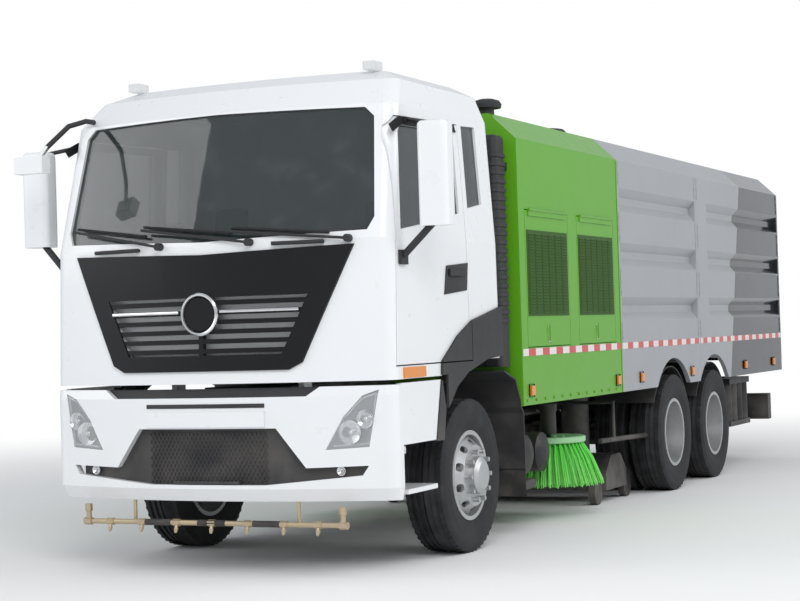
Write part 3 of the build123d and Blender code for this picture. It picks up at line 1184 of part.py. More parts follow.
# Black wheel-arch flares on the cab, wipers and the bars under the windscreen
FLARE_LIP_X = (1160.0, 1246.0)
FLARE_LIP = (
    (-582.0, 1010.0), (-541.0, 1046.0), (-429.0, 1142.0), (-244.0, 1228.0), (60.0, 1297.0), (40.0, 1304.0),
    (-252.0, 1246.0), (-440.0, 1158.0), (-556.0, 1060.0), (-598.0, 1026.0),
)
HANDLE_BARS = ((-830.0, -465.0), (510.0, 840.0))
WIPERS = ((-303.0, -1040.0, 2235.0), (352.0, -450.0, 2215.0), (990.0, 216.0, 2175.0))
with BuildPart() as flares:
    for x in both_sides(FLARE_X):
        side_plate(FLARE_OUTLINE, x)
    for reach in (SIDE_REACH, RIGHT_REACH):
        add(side_prism(DOOR_OUTLINE, reach), mode=Mode.SUBTRACT)
    for x in both_sides(FLARE_LIP_X):
        side_plate(FLARE_LIP, x)


def nose_y(x, height):
    """Y of the cab's front surface at a place below the roof."""
    (low_z, low_front, low_corner, low_half, low_rear) = CAB_SECTIONS[0]
    for (high_z, high_front, high_corner, high_half, high_rear) in CAB_SECTIONS[1:]:
        if height <= high_z:
            break
        low_z, low_front, low_corner, low_half = high_z, high_front, high_corner, high_half
    share = (height - low_z) / (high_z - low_z)
    front = low_front + (high_front - low_front) * share
    corner = low_corner + (high_corner - low_corner) * share
    reach = low_half + (high_half - low_half) * share - 75
    rise = corner - front
    radius = (reach ** 2 + rise ** 2) / (2 * rise)
    return behind(front + radius - (radius ** 2 - x ** 2) ** 0.5)


def seat_y(x, height, radius):
    """Y where a round post of this radius just meets the cab's front surface."""
    turns = [radians(45 * step) for step in range(8)]
    ring = [nose_y(x + radius * cos(turn), height + radius * sin(turn)) for turn in turns]
    return min(ring) - PLAY


with BuildPart() as front_trim:
    for start, end in HANDLE_BARS:
        lift = 34
        bar((start, nose_y(start, 2085) - lift, 2085), (end, nose_y(end, 2085) - lift, 2085), 13)
        for x in (start + 14, end - 14):
            bar((x, nose_y(x, 2085) - lift, 2085), (x, seat_y(x, 2085, 11), 2085), 11)
    for pivot_x, tip_x, tip_z in WIPERS:
        lift = 42
        root = (pivot_x, nose_y(pivot_x, 2100) - lift, 2100)
        tip = (tip_x, nose_y(tip_x, tip_z) - lift, tip_z)
        bar(root, tip, 9)
        bar((pivot_x, nose_y(pivot_x, 2100) - lift - 8, 2100), (pivot_x, seat_y(pivot_x, 2100, 24), 2100), 24)

# Right front mirror on its bowed arm, ahead of the windscreen's upper corner
FRONT_MIRROR = (-1150.0, -1680.0, 2680.0)
with BuildPart() as front_mirror:
    points = ((-1050.0, -1232.0, 2990.0), (-1060.0, -1420.0, 2940.0), (-1110.0, -1600.0, 2790.0), FRONT_MIRROR)
    places = [(x, behind(distance), height) for x, distance, height in points]
    places.insert(0, (points[0][0], seat_y(points[0][0], points[0][2], 17), points[0][2]))
    for start, end in zip(places, places[1:]):
        bar(start, end, 17)
        with Locations(end):
            Sphere(17)
    block((FRONT_MIRROR[0] - 110, FRONT_MIRROR[0] + 110), (behind(-LENGTH_AHEAD), behind(-LENGTH_AHEAD + 90)),
          (FRONT_MIRROR[2] - 70, FRONT_MIRROR[2] + 40))
write("cab_trim", joined(flares, front_trim, front_mirror))

# Lamps on the cab: roof markers and amber side lamps below the doors
MARKER = (895.0, -870.0)
with BuildPart() as cab_lamps:
    for side in (-1, 1):
        marker_z = 3205
        block(sorted((side * (MARKER[0] - 40), side * (MARKER[0] + 40))), (behind(MARKER[1] - 10), behind(MARKER[1] + 120)),
              (marker_z + 5 + PLAY, marker_z + 62))
        block(sorted((side * 1245.3, side * 1258)), (behind(-1240), behind(-920)), (1226, 1292))
write("cab_lamps", cab_lamps)

# Cab interior: dashboard, two seats and the berth behind them
SEAT_X = 600.0
with BuildPart() as cab_interior:
    side_plate(((-1260, 1700), (-960, 1700), (-900, 1990), (-1000, 2080), (-1260, 2060)), (-1070, 1070))
    block((-500, 500), (behind(-1260), behind(-1000)), (CAB_FLOOR_Z, 1701))
    for side in (-1, 1):
        x = sorted((side * (SEAT_X - 250), side * (SEAT_X + 250)))
        block((x[0] + 60, x[1] - 60), (behind(-560), behind(-200)), (CAB_FLOOR_Z, 1560))
        block(x, (behind(-640), behind(-140)), (1550, 1700))
        side_plate(((-260, 1690), (-130, 1690), (-40, 2420), (-140, 2440)), x)
    block((-1130, 1130), (behind(-20), behind(340)), (CAB_FLOOR_Z, 1640))
write("cab_interior", cab_interior)

# Steering wheel on its raked column
WHEEL_HUB = (600.0, -800.0, 2030.0)
WHEEL_RAKE = 32.0
WHEEL_RING = 225.0
COLUMN_LENGTH = 176.0
with BuildPart() as steering_wheel:
    hub = Vector(WHEEL_HUB[0], behind(WHEEL_HUB[1]), WHEEL_HUB[2])
    column = Vector(0, -sin(radians(WHEEL_RAKE)), -cos(radians(WHEEL_RAKE)))
    wheel_plane = Plane(origin=hub, x_dir=(1, 0, 0), z_dir=-column)
    with BuildSketch(Plane(origin=hub, x_dir=(1, 0, 0), z_dir=wheel_plane.y_dir)):
        with Locations((WHEEL_RING, 0)):
            Circle(15)
    revolve(axis=Axis(hub, -column))
    with BuildSketch(wheel_plane.offset(-9)):
        Rectangle(2 * WHEEL_RING, 44)
        with Locations((0, -WHEEL_RING / 2)):
            Rectangle(44, WHEEL_RING)
        Circle(62)
    extrude(amount=18)
    column_end = hub + column * COLUMN_LENGTH
    bar(tuple(hub), tuple(column_end), 30)
write("steering_wheel", steering_wheel)

# Bumper: curved shell with its central opening, lamp recesses and step
BUMPER_SECTIONS = (
    (480.0, -1520.0, -1350.0, 1235.0),
    (560.0, -1570.0, -1395.0, 1250.0),
    (1130.0, -1572.0, -1395.0, 1250.0),
    (1190.0, -1560.0, -1385.0, 1250.0),
)
BUMPER_WALL = 45.0
BUMPER_REAR = -1275.0
BUMPER_TOP = 1190.0


def bumper_layer(inset):
    """Solid with the bumper's outer form, moved inwards by the inset."""
    rings = []
    for height, front, corner, half in BUMPER_SECTIONS:
        w = half - inset
        with BuildSketch(Plane.XY.offset(height)) as ring:
            with BuildLine():
                side_start = behind(corner + inset)
                rear = behind(BUMPER_REAR + 3 * inset)
                ThreePointArc((-w + 75, side_start), (0, behind(front + inset)), (w - 75, side_start))
                ThreePointArc((w - 75, side_start), (w - 20, side_start + 30), (w, side_start + 72))
                Line((w, side_start + 72), (w, rear))
                Line((w, rear), (-w, rear))
                Line((-w, rear), (-w, side_start + 72))
                ThreePointArc((-w, side_start + 72), (-w + 20, side_start + 30), (-w + 75, side_start))
            make_face()
        rings.append(ring.sketch)
    return loft(rings, ruled=True, mode=Mode.PRIVATE)


BUMPER_OPENING = (
    (-420.0, 585.0), (420.0, 585.0), (1040.0, 640.0), (1080.0, 700.0), (690.0, 690.0), (500.0, 938.0),
    (-500.0, 938.0), (-690.0, 690.0), (-1080.0, 700.0), (-1040.0, 640.0),
)
SLOT_OUTLINE = ((-700.0, 1132.0), (700.0, 1132.0), (800.0, 1200.0), (-800.0, 1200.0))
LAMP_OUTLINE = ((815.0, 800.0), (1085.0, 815.0), (1150.0, 1165.0), (1050.0, 1130.0), (930.0, 1000.0))
PLATE_PANEL = ((-430.0, 948.0), (430.0, 948.0), (430.0, 1048.0), (-430.0, 1048.0))
with BuildPart() as bumper:
    add(bumper_layer(0))
    add(bumper_layer(BUMPER_WALL), mode=Mode.SUBTRACT)
    add(front_prism(BUMPER_OPENING, FRONT_REACH), mode=Mode.SUBTRACT)
    add(front_prism(SLOT_OUTLINE, FRONT_REACH), mode=Mode.SUBTRACT)
    add(front_prism(LAMP_OUTLINE, FRONT_REACH), mode=Mode.SUBTRACT)
    add(front_prism([(-x, z) for x, z in LAMP_OUTLINE], FRONT_REACH), mode=Mode.SUBTRACT)
write("bumper", bumper)

# Mesh plate, step and beam behind the bumper's openings
with BuildPart() as bumper_inner:
    add(bumper_layer(BUMPER_WALL + PLAY))
    add(bumper_layer(BUMPER_WALL + 18), mode=Mode.SUBTRACT)
    add(front_prism(((-1030, 545), (1030, 545), (1030, 790), (780, 820), (780, 1188), (-780, 1188), (-780, 820),
                     (-1030, 790)), FRONT_REACH), mode=Mode.INTERSECT)
    block((-240, 240), (behind(-1556), behind(-1500)), (588, 608))
    for x in both_sides((340, FRAME_HALF_WIDTH - RAIL_WALL)):
        block(x, (behind(-1500), behind(RAIL_FRONT)), (800, 850))
write("bumper_inner", bumper_inner)

# Headlamps set into the bumper's corners
with BuildPart() as headlamps:
    for mirror_side in (-1, 1):
        outline = [(mirror_side * x, z) for x, z in LAMP_OUTLINE]
        with BuildPart(mode=Mode.PRIVATE) as lamp:
            add(bumper_layer(5))
            add(bumper_layer(BUMPER_WALL), mode=Mode.SUBTRACT)
            add(front_prism(outline, FRONT_REACH, PLAY), mode=Mode.INTERSECT)
        add(lamp.part)
write("headlamps", headlamps)

# Skirts below the doors, with their steps, and the lower legs of the arch flares
SKIRT_OUTLINE = (
    (-1266.0, 815.0), (-770.0, 815.0), (-672.0, 1196.0), (-1266.0, 1196.0),
)
FLARE_LEG = ((-764.0, 806.0), (-650.0, 806.0), (-608.0, 1000.0), (-652.0, 1190.0), (-668.0, 1190.0))
with BuildPart() as step_skirts:
    for x in both_sides((1205, 1245)):
        side_plate(SKIRT_OUTLINE, x)
    for x in both_sides((FRAME_HALF_WIDTH, 1206)):
        block(x, (behind(-1000), behind(-940)), (930, 990))
    for x in both_sides((1000, 1215)):
        block(x, (behind(-1150), behind(-700)), (500, 530))
    for x in both_sides((1020, 1045)):
        block(x, (behind(-990), behind(-950)), (529, 931))
write("step_skirts", step_skirts)

# Front mudguards: arch legs in front of the wheel and curved sheets behind it
GUARD_OUTLINE = (
    (455.0, 1205.0), (660.0, 1140.0), (748.0, 985.0), (756.0, 940.0), (798.0, 900.0), (804.0, 500.0), (816.0, 500.0),
    (810.0, 905.0), (768.0, 946.0), (760.0, 988.0), (668.0, 1151.0), (455.0, 1217.0),
)
with BuildPart() as front_mudguards:
    for x in both_sides((1150, 1252)):
        side_plate(FLARE_LEG, x)
    for x in both_sides((700, 1240)):
        side_plate(GUARD_OUTLINE, x)
    for x in both_sides((FRAME_HALF_WIDTH, 720)):
        block(x, (behind(821), behind(845)), (820, 880))
    for x in both_sides((700, 724)):
        block(x, (behind(810), behind(845)), (820, 880))
    for x in both_sides((1190, 1204.7)):
        block(x, (behind(-760), behind(-640)), (1120, 1180))
write("mudguards", joined(mudguards, front_mudguards))

# Front spray bar: pipes, turned-up ends and nozzles, hung below the bumper
SPRAY_Z = 340.0
SPRAY_AHEAD = 1500.0
SPRAY_HALF = 930.0
SPRAY_RADIUS = 17.0
NOZZLE_PLACES = (-760.0, -520.0, -260.0, 0.0, 260.0, 520.0, 760.0)
with BuildPart() as spray_bar:
    y = behind(-SPRAY_AHEAD)
    bar((-SPRAY_HALF, y, SPRAY_Z), (SPRAY_HALF, y, SPRAY_Z), SPRAY_RADIUS)
    for side in (-1, 1):
        bar((side * SPRAY_HALF, y, SPRAY_Z - SPRAY_RADIUS), (side * SPRAY_HALF, y, 450), SPRAY_RADIUS)
        bar((side * 600, y, SPRAY_Z), (side * 600, y + 52, SPRAY_Z), 12)
        bar((side * 600, y + 46, SPRAY_Z - 12), (side * 600, y + 46, BUMPER_SECTIONS[0][0] - PLAY), 12)
    for x in NOZZLE_PLACES:
        bar((x, y, SPRAY_Z), (x, y - 14, SPRAY_Z - 46), 11)
write("spray_bar", spray_bar)

# Water pipe behind the side brush, and the outlet pipe below the chambers
SIDE_PIPE_X = 1120.0
PIPE_HANGER_Z = 860.0
with BuildPart() as side_pipes:
    for side in (-1, 1):
        x = side * SIDE_PIPE_X
        bar((x, behind(2820), 560), (x, behind(4050), 530), 22)
        bar((x, behind(3180), 551), (x, behind(3180), PIPE_HANGER_Z + 14), 14)
        bar((x, behind(3180), PIPE_HANGER_Z), (side * FRAME_HALF_WIDTH, behind(3180), PIPE_HANGER_Z), 14)
        bar((side * 1080, behind(880), 350), (side * 1080, behind(1320), 350), 40)
        bar((side * 1080, behind(900), 350), (side * 620, behind(900), 350), 26)
        bar((side * 620, behind(900), 330), (side * 620, behind(900), PIPE_HANGER_Z + 20), 26)
        bar((side * 630, behind(900), PIPE_HANGER_Z), (side * FRAME_HALF_WIDTH, behind(900), PIPE_HANGER_Z), 26)
write("pipes_and_chambers", joined(side_pipes, rear_pipes, chambers))
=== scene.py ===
from math import cos, pi, radians, sin

import bmesh
import bpy
from mathutils import Matrix, Vector


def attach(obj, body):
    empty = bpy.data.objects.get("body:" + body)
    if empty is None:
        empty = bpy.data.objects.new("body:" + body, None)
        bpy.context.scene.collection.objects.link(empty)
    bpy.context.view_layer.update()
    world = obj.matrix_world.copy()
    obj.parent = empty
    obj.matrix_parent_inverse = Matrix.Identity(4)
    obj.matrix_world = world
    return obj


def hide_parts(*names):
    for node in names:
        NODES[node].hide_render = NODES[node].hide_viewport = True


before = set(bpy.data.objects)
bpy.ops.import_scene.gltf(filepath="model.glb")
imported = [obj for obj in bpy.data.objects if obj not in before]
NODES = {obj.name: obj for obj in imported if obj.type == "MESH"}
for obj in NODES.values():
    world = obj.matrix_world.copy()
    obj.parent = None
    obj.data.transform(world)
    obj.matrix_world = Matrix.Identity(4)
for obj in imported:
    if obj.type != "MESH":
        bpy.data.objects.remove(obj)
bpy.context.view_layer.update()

bl_info = {
    "name": "Street sweeper truck dressing",
    "version": (1, 0, 0),
    "blender": (4, 5, 0),
    "location": "View3D > Sidebar > Sweeper",
    "description": "Finishes and fine pieces of a three-axle street sweeper truck",
    "category": "Object",
}

# Metres, +Z up, front towards -Y, the vehicle's left towards +X
AXLE_Y = -3.520
AXLE_Z = 0.522
BODY_HALF = 1.250
DUST = (0.27, 0.245, 0.215)
SIDES = (("left", 1), ("right", -1))
WHEELS = (
    # place, distance behind the front axle, middles of its tyres on the left side
    ("front", 0.0, (1.023,)),
    ("middle", 4.600, (0.770, 1.100)),
    ("rear", 5.950, (0.770, 1.100)),
)


def back(distance):
    """Y of a place this far behind the front axle."""
    return AXLE_Y + distance


def scaled(colour, level):
    """A darker or brighter colour."""
    return [level * part for part in colour]


class Signal:
    """One output of a finish's nodes, so that shader maths reads as maths."""

    def __init__(self, finish, socket):
        self.finish = finish
        self.socket = socket

    def maths(self, operation, *values):
        return self.finish.node("ShaderNodeMath", {"operation": operation}, values)

    def __add__(self, other):
        return self.maths("ADD", self, other)

    def __radd__(self, other):
        return self.maths("ADD", other, self)

    def __sub__(self, other):
        return self.maths("SUBTRACT", self, other)

    def __rsub__(self, other):
        return self.maths("SUBTRACT", other, self)

    def __mul__(self, other):
        return self.maths("MULTIPLY", self, other)

    def __rmul__(self, other):
        return self.maths("MULTIPLY", other, self)

    def __gt__(self, other):
        return self.maths("GREATER_THAN", self, other)

    def magnitude(self):
        return self.maths("ABSOLUTE", self)

    def remainder(self, step):
        return self.maths("FLOORED_MODULO", self, step)


class Finish:
    """A material of one principled surface, and the nodes that vary it."""

    def __init__(self, name, **constants):
        self.material = bpy.data.materials.new(name)
        self.material.use_nodes = True
        self.tree = self.material.node_tree
        self.surface = self.tree.nodes["Principled BSDF"]
        for socket, value in constants.items():
            self.surface.inputs[socket.replace("_", " ")].default_value = value

    def node(self, kind, settings, values, output=0):
        made = self.tree.nodes.new(kind)
        for key, value in settings.items():
            if key == "stops":
                low, high = made.color_ramp.elements
                low.position, high.position = value
            else:
                setattr(made, key, value)
        for key, value in values.items() if isinstance(values, dict) else enumerate(values):
            if isinstance(value, Signal):
                self.tree.links.new(value.socket, made.inputs[key])
            else:
                made.inputs[key].default_value = value
        return Signal(self, made.outputs[output])

    def place(self):
        """Object coordinates, in metres of the row frame."""
        return self.node("ShaderNodeTexCoord", {}, {}, "Object")

    def along(self, axis):
        """One of the object coordinates, named X, Y or Z."""
        return self.node("ShaderNodeSeparateXYZ", {}, (self.place(),), axis)

    def noise(self, scale, detail=3.0, stretch=(1.0, 1.0, 1.0)):
        """Cloudy noise from 0 to 1, with so many clouds to the metre."""
        laid = self.node("ShaderNodeMapping", {}, {"Vector": self.place(), "Scale": stretch})
        return self.node(
            "ShaderNodeTexNoise", {}, {"Vector": laid, "Scale": scale, "Detail": detail, "Roughness": 0.55}, "Fac"
        )

    def ramp(self, signal, low, high):
        """The signal as 0 below low and 1 above high."""
        return self.node(
            "ShaderNodeMapRange",
            {"interpolation_type": "SMOOTHSTEP", "clamp": True},
            {"Value": signal, "From Min": low, "From Max": high, "To Min": 0.0, "To Max": 1.0},
        )

    def mix(self, mask, first, second):
        """A colour that goes from the first to the second with the mask."""
        first, second = (c if isinstance(c, Signal) else (*c, 1.0) for c in (first, second))
        return self.node("ShaderNodeMix", {"data_type": "RGBA"}, {0: mask, 6: first, 7: second}, 2)

    def feed(self, socket, signal):
        self.tree.links.new(signal.socket, self.surface.inputs[socket])

    def bump(self, height, strength, distance):
        self.feed("Normal", self.node(
            "ShaderNodeBump", {}, {"Strength": strength, "Distance": distance, "Height": height}, "Normal"
        ))


def road_film(finish, reach=1.0):
    """Mask of the thin road film on low and sheltered places."""
    low = 1.0 - finish.ramp(finish.along("Z"), 0.25, 0.25 + 1.3 * reach)
    return low * finish.ramp(finish.noise(3.0, 5.0), 0.30, 0.75)


def paint(name, colour, film=0.28, roughness=0.28, coat=0.45, clouds=0.04):
    """Sprayed paint: clear coat, faint orange peel, slight shade changes and a low road film."""
    finish = Finish(name, Coat_Roughness=0.08, Coat_Weight=coat, Specular_IOR_Level=min(0.5, 0.2 + coat))
    low, high = ([min(1.0, level * part) for part in colour] for level in (1.0 - clouds, 1.0 + clouds))
    shade = finish.mix(finish.noise(1.4), low, high)
    mask = road_film(finish) * film
    finish.feed("Base Color", finish.mix(mask, shade, DUST))
    finish.feed("Roughness", roughness + 0.10 * finish.noise(6.0) + 0.35 * mask)
    finish.bump(finish.noise(420.0, 2.0), 0.05, 0.0006)
    return finish.material


def hopper_paint(name, colour, dark):
    """Silver paint that meets the dark polished sheets along a sloping edge at the rear; the lighter streaks on
    those sheets are painted reflections.
    """
    finish = Finish(name, Coat_Roughness=0.05)
    y, z = finish.along("Y"), finish.along("Z")
    rear = finish.ramp(y - (z * 0.28 + 2.76), -0.004, 0.004)
    shade = finish.mix(finish.noise(1.1, 4.0), scaled(colour, 0.92), scaled(colour, 1.05))
    film = road_film(finish) * 0.3
    # Lighter streaky clouds on the dark rear sheets: painted reflections
    clouds = finish.ramp(finish.noise(2.2, 6.0, (1.0, 1.6, 3.0)), 0.35, 0.70)
    sheet = finish.mix(clouds, dark, scaled(dark, 2.0))
    finish.feed("Base Color", finish.mix(rear, finish.mix(film, shade, DUST), sheet))
    finish.feed("Roughness", 0.34 + 0.08 * finish.noise(7.0) - 0.20 * rear)
    finish.feed("Metallic", 0.30 + 0.30 * rear)
    finish.feed("Coat Weight", 0.20 + 0.40 * rear)
    finish.bump(finish.noise(300.0, 2.0), 0.05, 0.0008)
    return finish.material


def plastic(name, colour, roughness=0.5, grain=900.0):
    """Moulded plastic with a fine grain and a pale bloom of dust."""
    finish = Finish(name, Specular_IOR_Level=0.45)
    mask = road_film(finish) * 0.35
    shade = finish.mix(finish.noise(5.0), colour, scaled(colour, 1.5))
    finish.feed("Base Color", finish.mix(mask, shade, DUST))
    finish.feed("Roughness", roughness + 0.14 * finish.noise(12.0) + 0.2 * mask)
    finish.bump(finish.noise(grain, 3.0), 0.18, 0.0004)
    return finish.material


def metal(name, colour, roughness=0.32, film=0.3, streaks=(1.0, 1.0, 1.0)):
    """Bare or plated metal with fine streaks and a little film."""
    finish = Finish(name)
    mask = road_film(finish) * film
    tone = finish.noise(40.0, 4.0, streaks)
    finish.feed("Base Color", finish.mix(mask, finish.mix(tone, scaled(colour, 0.82), colour), DUST))
    finish.feed("Metallic", 0.95 - 0.8 * mask)
    finish.feed("Roughness", roughness + 0.14 * tone + 0.4 * mask)
    finish.bump(finish.noise(160.0, 3.0, streaks), 0.08, 0.0005)
    return finish.material


def cast(name, colour):
    """Painted castings and forgings under the truck: rough, greasy and dusty."""
    finish = Finish(name)
    grease = finish.ramp(finish.noise(7.0, 6.0), 0.35, 0.70)
    dusty = finish.mix(road_film(finish), colour, DUST)
    finish.feed("Base Color", finish.mix(grease, dusty, scaled(colour, 0.5)))
    finish.feed("Roughness", 0.68 - 0.30 * grease)
    finish.feed("Metallic", 0.25 * grease)
    finish.bump(finish.noise(90.0, 5.0), 0.30, 0.002)
    return finish.material


def tyre_rubber(name, colour):
    """Tyre rubber: dull and dusty in patches, darker between them."""
    finish = Finish(name, Specular_IOR_Level=0.30)
    dust = finish.ramp(finish.noise(9.0, 6.0), 0.35, 0.80)
    finish.feed("Base Color", finish.mix(dust, colour, [2.4 * part + 0.004 for part in colour]))
    finish.feed("Roughness", 0.62 + 0.22 * dust)
    finish.bump(finish.noise(220.0, 4.0), 0.25, 0.0008)
    return finish.material


def tinted_glass(name, colour, clear=0.35):
    """Tinted safety glass, slightly dusty in patches."""
    finish = Finish(name, Roughness=0.02, IOR=1.5, Coat_Weight=1.0, Coat_Roughness=0.01)
    film = finish.ramp(finish.noise(5.0, 5.0), 0.45, 0.85)
    finish.feed("Base Color", finish.mix(film, colour, scaled(colour, 1.8)))
    finish.feed("Alpha", 1.0 - clear + 0.06 * film)
    return finish.material


def lamp_lens(name, colour, clear=0.25, ribs=260.0):
    """Lens moulded in fine flutes over a bright base, its colour darker in the hollow of each flute as painted
    shade.
    """
    finish = Finish(name, IOR=1.49, Coat_Weight=1.0, Coat_Roughness=0.03)
    flutes = ((finish.along("Y") + finish.along("X")) * ribs).remainder(1.0) - 0.5
    # Colour darker in the hollow of each flute: painted shade of the flutes
    finish.feed("Base Color", finish.mix(flutes.magnitude(), scaled(colour, 0.75), colour))
    finish.feed("Roughness", 0.10 + 0.05 * finish.noise(30.0))
    finish.feed("Alpha", 1.0 - clear + 0.05 * finish.noise(12.0))
    finish.bump(flutes * flutes, 0.4, 0.0012)
    return finish.material


def warning_tape(name, red, white):
    """Retro-reflective tape: red and white blocks with a fine honeycomb in the film."""
    finish = Finish(name, Coat_Weight=0.6, Coat_Roughness=0.1)
    step = 0.29
    blocks = finish.along("Y").remainder(step) > step * 0.5
    cells = finish.node(
        "ShaderNodeTexVoronoi", {"feature": "DISTANCE_TO_EDGE"}, {"Vector": finish.place(), "Scale": 220.0},
        "Distance",
    )
    edge = finish.ramp(cells, 0.02, 0.10)
    colour = finish.mix(blocks, red, white)
    finish.feed("Base Color", finish.mix(edge, finish.mix(0.15, colour, DUST), colour))
    finish.feed("Roughness", 0.25 + 0.1 * finish.noise(9.0))
    finish.bump(edge, 0.2, 0.0004)
    return finish.material


def fabric(name, colour):
    """Woven seat cloth."""
    finish = Finish(name, Sheen_Weight=0.3, Specular_IOR_Level=0.2)
    x, y, z = (finish.along(axis) for axis in "XYZ")
    weave = ((x * 900.0).remainder(1.0) - 0.5).magnitude() + (((y + z) * 900.0).remainder(1.0) - 0.5).magnitude()
    finish.feed("Base Color", finish.mix(weave, scaled(colour, 0.7), scaled(colour, 1.3)))
    finish.feed("Roughness", 0.85 + 0.1 * finish.noise(20.0))
    finish.bump(weave, 0.4, 0.0008)
    return finish.material


def bristle_plastic(name, root, tip):
    """Brush bristles, paler and dustier towards their tips."""
    finish = Finish(name, Specular_IOR_Level=0.4)
    down = finish.ramp(finish.along("Z"), 0.26, 0.60)
    spread = finish.noise(45.0, 3.0)
    finish.feed("Base Color", finish.mix(down, finish.mix(spread, tip, root), root))
    finish.feed("Roughness", 0.42 + 0.25 * spread)
    finish.bump(finish.noise(500.0, 2.0, (1.0, 1.0, 0.1)), 0.2, 0.0005)
    return finish.material


def tint(name, description, default):
    """A colour that a user can change."""
    return bpy.props.FloatVectorProperty(
        name=name, description=description, subtype="COLOR", size=3, default=default
    )


class TruckColours(bpy.types.PropertyGroup):
    """Colours of the truck's paints and plastics, as linear light."""

    cab: tint("Cab", "White of the cab and bumper", (0.80, 0.81, 0.82))
    module: tint("Engine module", "Green of the engine module", (0.105, 0.36, 0.010))
    hopper: tint("Hopper", "Silver of the tank and the hopper", (0.40, 0.41, 0.43))
    bristles: tint("Bristles", "Green of the brush bristles", (0.10, 0.62, 0.06))


class TruckSizes(bpy.types.PropertyGroup):
    """Numbers and sizes of the truck's fine pieces."""

    louvre_columns: bpy.props.IntProperty(
        name="Louvre columns", description="Columns of louvres on an equipment door", default=6, min=2, max=10
    )
    louvre_rows: bpy.props.IntProperty(
        name="Louvre rows", description="Rows of louvres on an equipment door", default=27, min=6, max=40
    )
    tufts: bpy.props.IntProperty(
        name="Tufts", description="Bristle tufts round a side brush", default=42, min=12, max=80
    )
    tape_height: bpy.props.FloatProperty(
        name="Tape height", description="Height of the warning tape", default=0.052, unit="LENGTH"
    )
    groove_depth: bpy.props.FloatProperty(
        name="Tread depth", description="Depth of the tyres' tread grooves", default=0.014, unit="LENGTH"
    )


# Columns: height, front at the middle, front at the corner, half width; from part of the cab to the roof
CAB_SECTIONS = (
    (1.220, -1.570, -1.395, 1.245),
    (2.100, -1.540, -1.365, 1.238),
    (2.950, -1.300, -1.150, 1.190),
    (3.130, -1.080, -0.960, 1.120),
    (3.210, -0.860, -0.790, 0.960),
)
# Columns as above, for the bumper
BUMPER_SECTIONS = (
    (0.480, -1.520, -1.350, 1.235),
    (0.560, -1.570, -1.395, 1.250),
    (1.130, -1.572, -1.395, 1.250),
    (1.190, -1.560, -1.385, 1.250),
)
CORNER_REACH = 0.075


def section_at(sections, height):
    """Front, corner and half width of a bowed form at one height."""
    low = sections[0]
    for high in sections[1:]:
        if height <= high[0]:
            break
        if high is not sections[-1]:
            low = high
    share = (height - low[0]) / (high[0] - low[0])
    return [a + (b - a) * share for a, b in zip(low[1:], high[1:])]


def bowed_y(sections, x, height):
    """Y of the cab's or the bumper's front surface."""
    front, corner, half = section_at(sections, height)
    reach = half - CORNER_REACH
    rise = corner - front
    radius = (reach ** 2 + rise ** 2) / (2 * rise)
    return back(front + radius - (radius ** 2 - min(abs(x), reach) ** 2) ** 0.5)


def nose_y(x, height):
    return bowed_y(CAB_SECTIONS, x, height)


def cab_side(height):
    """Half width of the cab at this height."""
    return section_at(CAB_SECTIONS, height)[2]


def cuboid(mesh, low, high):
    """Adds a box between two corners and returns its vertices."""
    size = [b - a for a, b in zip(low, high)]
    middle = [(a + b) / 2 for a, b in zip(low, high)]
    placed = Matrix.Translation(middle) @ Matrix.Diagonal((*size, 1.0))
    return bmesh.ops.create_cube(mesh, size=1.0, matrix=placed)["verts"]


def side_box(mesh, side, x, distance, z):
    """Adds a box on one side from (low, high) pairs: outwards, behind the front axle, upwards."""
    low, high = zip(sorted(side * part for part in x), map(back, distance), z)
    cuboid(mesh, low, high)


def rod(mesh, start, end, radius, end_radius=None, sides=16):
    """Adds a round bar or cone between two points."""
    start, end = Vector(start), Vector(end)
    run = end - start
    turned = run.to_track_quat("Z", "Y").to_matrix().to_4x4()
    bmesh.ops.create_cone(
        mesh, cap_ends=True, segments=sides, radius1=radius, radius2=radius if end_radius is None else end_radius,
        depth=run.length, matrix=Matrix.Translation((start + end) / 2) @ turned,
    )


def turned(mesh, profile, centre, axis, steps=48):
    """Spins a closed profile of (radius, along) points right round an axis through the centre."""
    axis = Vector(axis).normalized()
    side = axis.orthogonal().normalized()
    centre = Vector(centre)
    corners = [mesh.verts.new(centre + side * radius + axis * along) for radius, along in profile]
    edges = [mesh.edges.new((a, b)) for a, b in zip(corners, corners[1:] + corners[:1])]
    bmesh.ops.spin(
        mesh, geom=corners + edges, cent=centre, axis=axis, angle=2 * pi, steps=steps, use_merge=True
    )


def pull(mesh, faces, vector):
    """Thickens faces by moving a copy of them along a vector, with walls between."""
    grown = bmesh.ops.extrude_face_region(mesh, geom=faces)["geom"]
    bmesh.ops.translate(mesh, vec=vector, verts=[part for part in grown if isinstance(part, bmesh.types.BMVert)])


def face_of(mesh, corners):
    """Adds one face."""
    return mesh.faces.new([mesh.verts.new(corner) for corner in corners])


def rim_only(mesh, face, width):
    """Leaves only the rim of a face."""
    bmesh.ops.inset_region(mesh, faces=[face], thickness=width, use_boundary=True, use_even_offset=True)
    bmesh.ops.delete(mesh, geom=[face], context="FACES")


def flat_plate(mesh, corners, thickness):
    """A plate from its corners, which lie in one plane, thickened along a vector."""
    pull(mesh, [face_of(mesh, corners)], thickness)


def bent_rod(mesh, places, radius):
    """Adds thin round bars from each place to the next."""
    for start, end in zip(places, places[1:]):
        rod(mesh, start, end, radius, sides=8)


def eased(mesh, width, segments=2):
    """Bevels every edge of the mesh."""
    bmesh.ops.bevel(
        mesh, geom=list(mesh.edges), offset=width, offset_type="OFFSET", affect="EDGES", segments=segments,
        profile=0.5, material=-1, clamp_overlap=True,
    )


FINISHES = {}


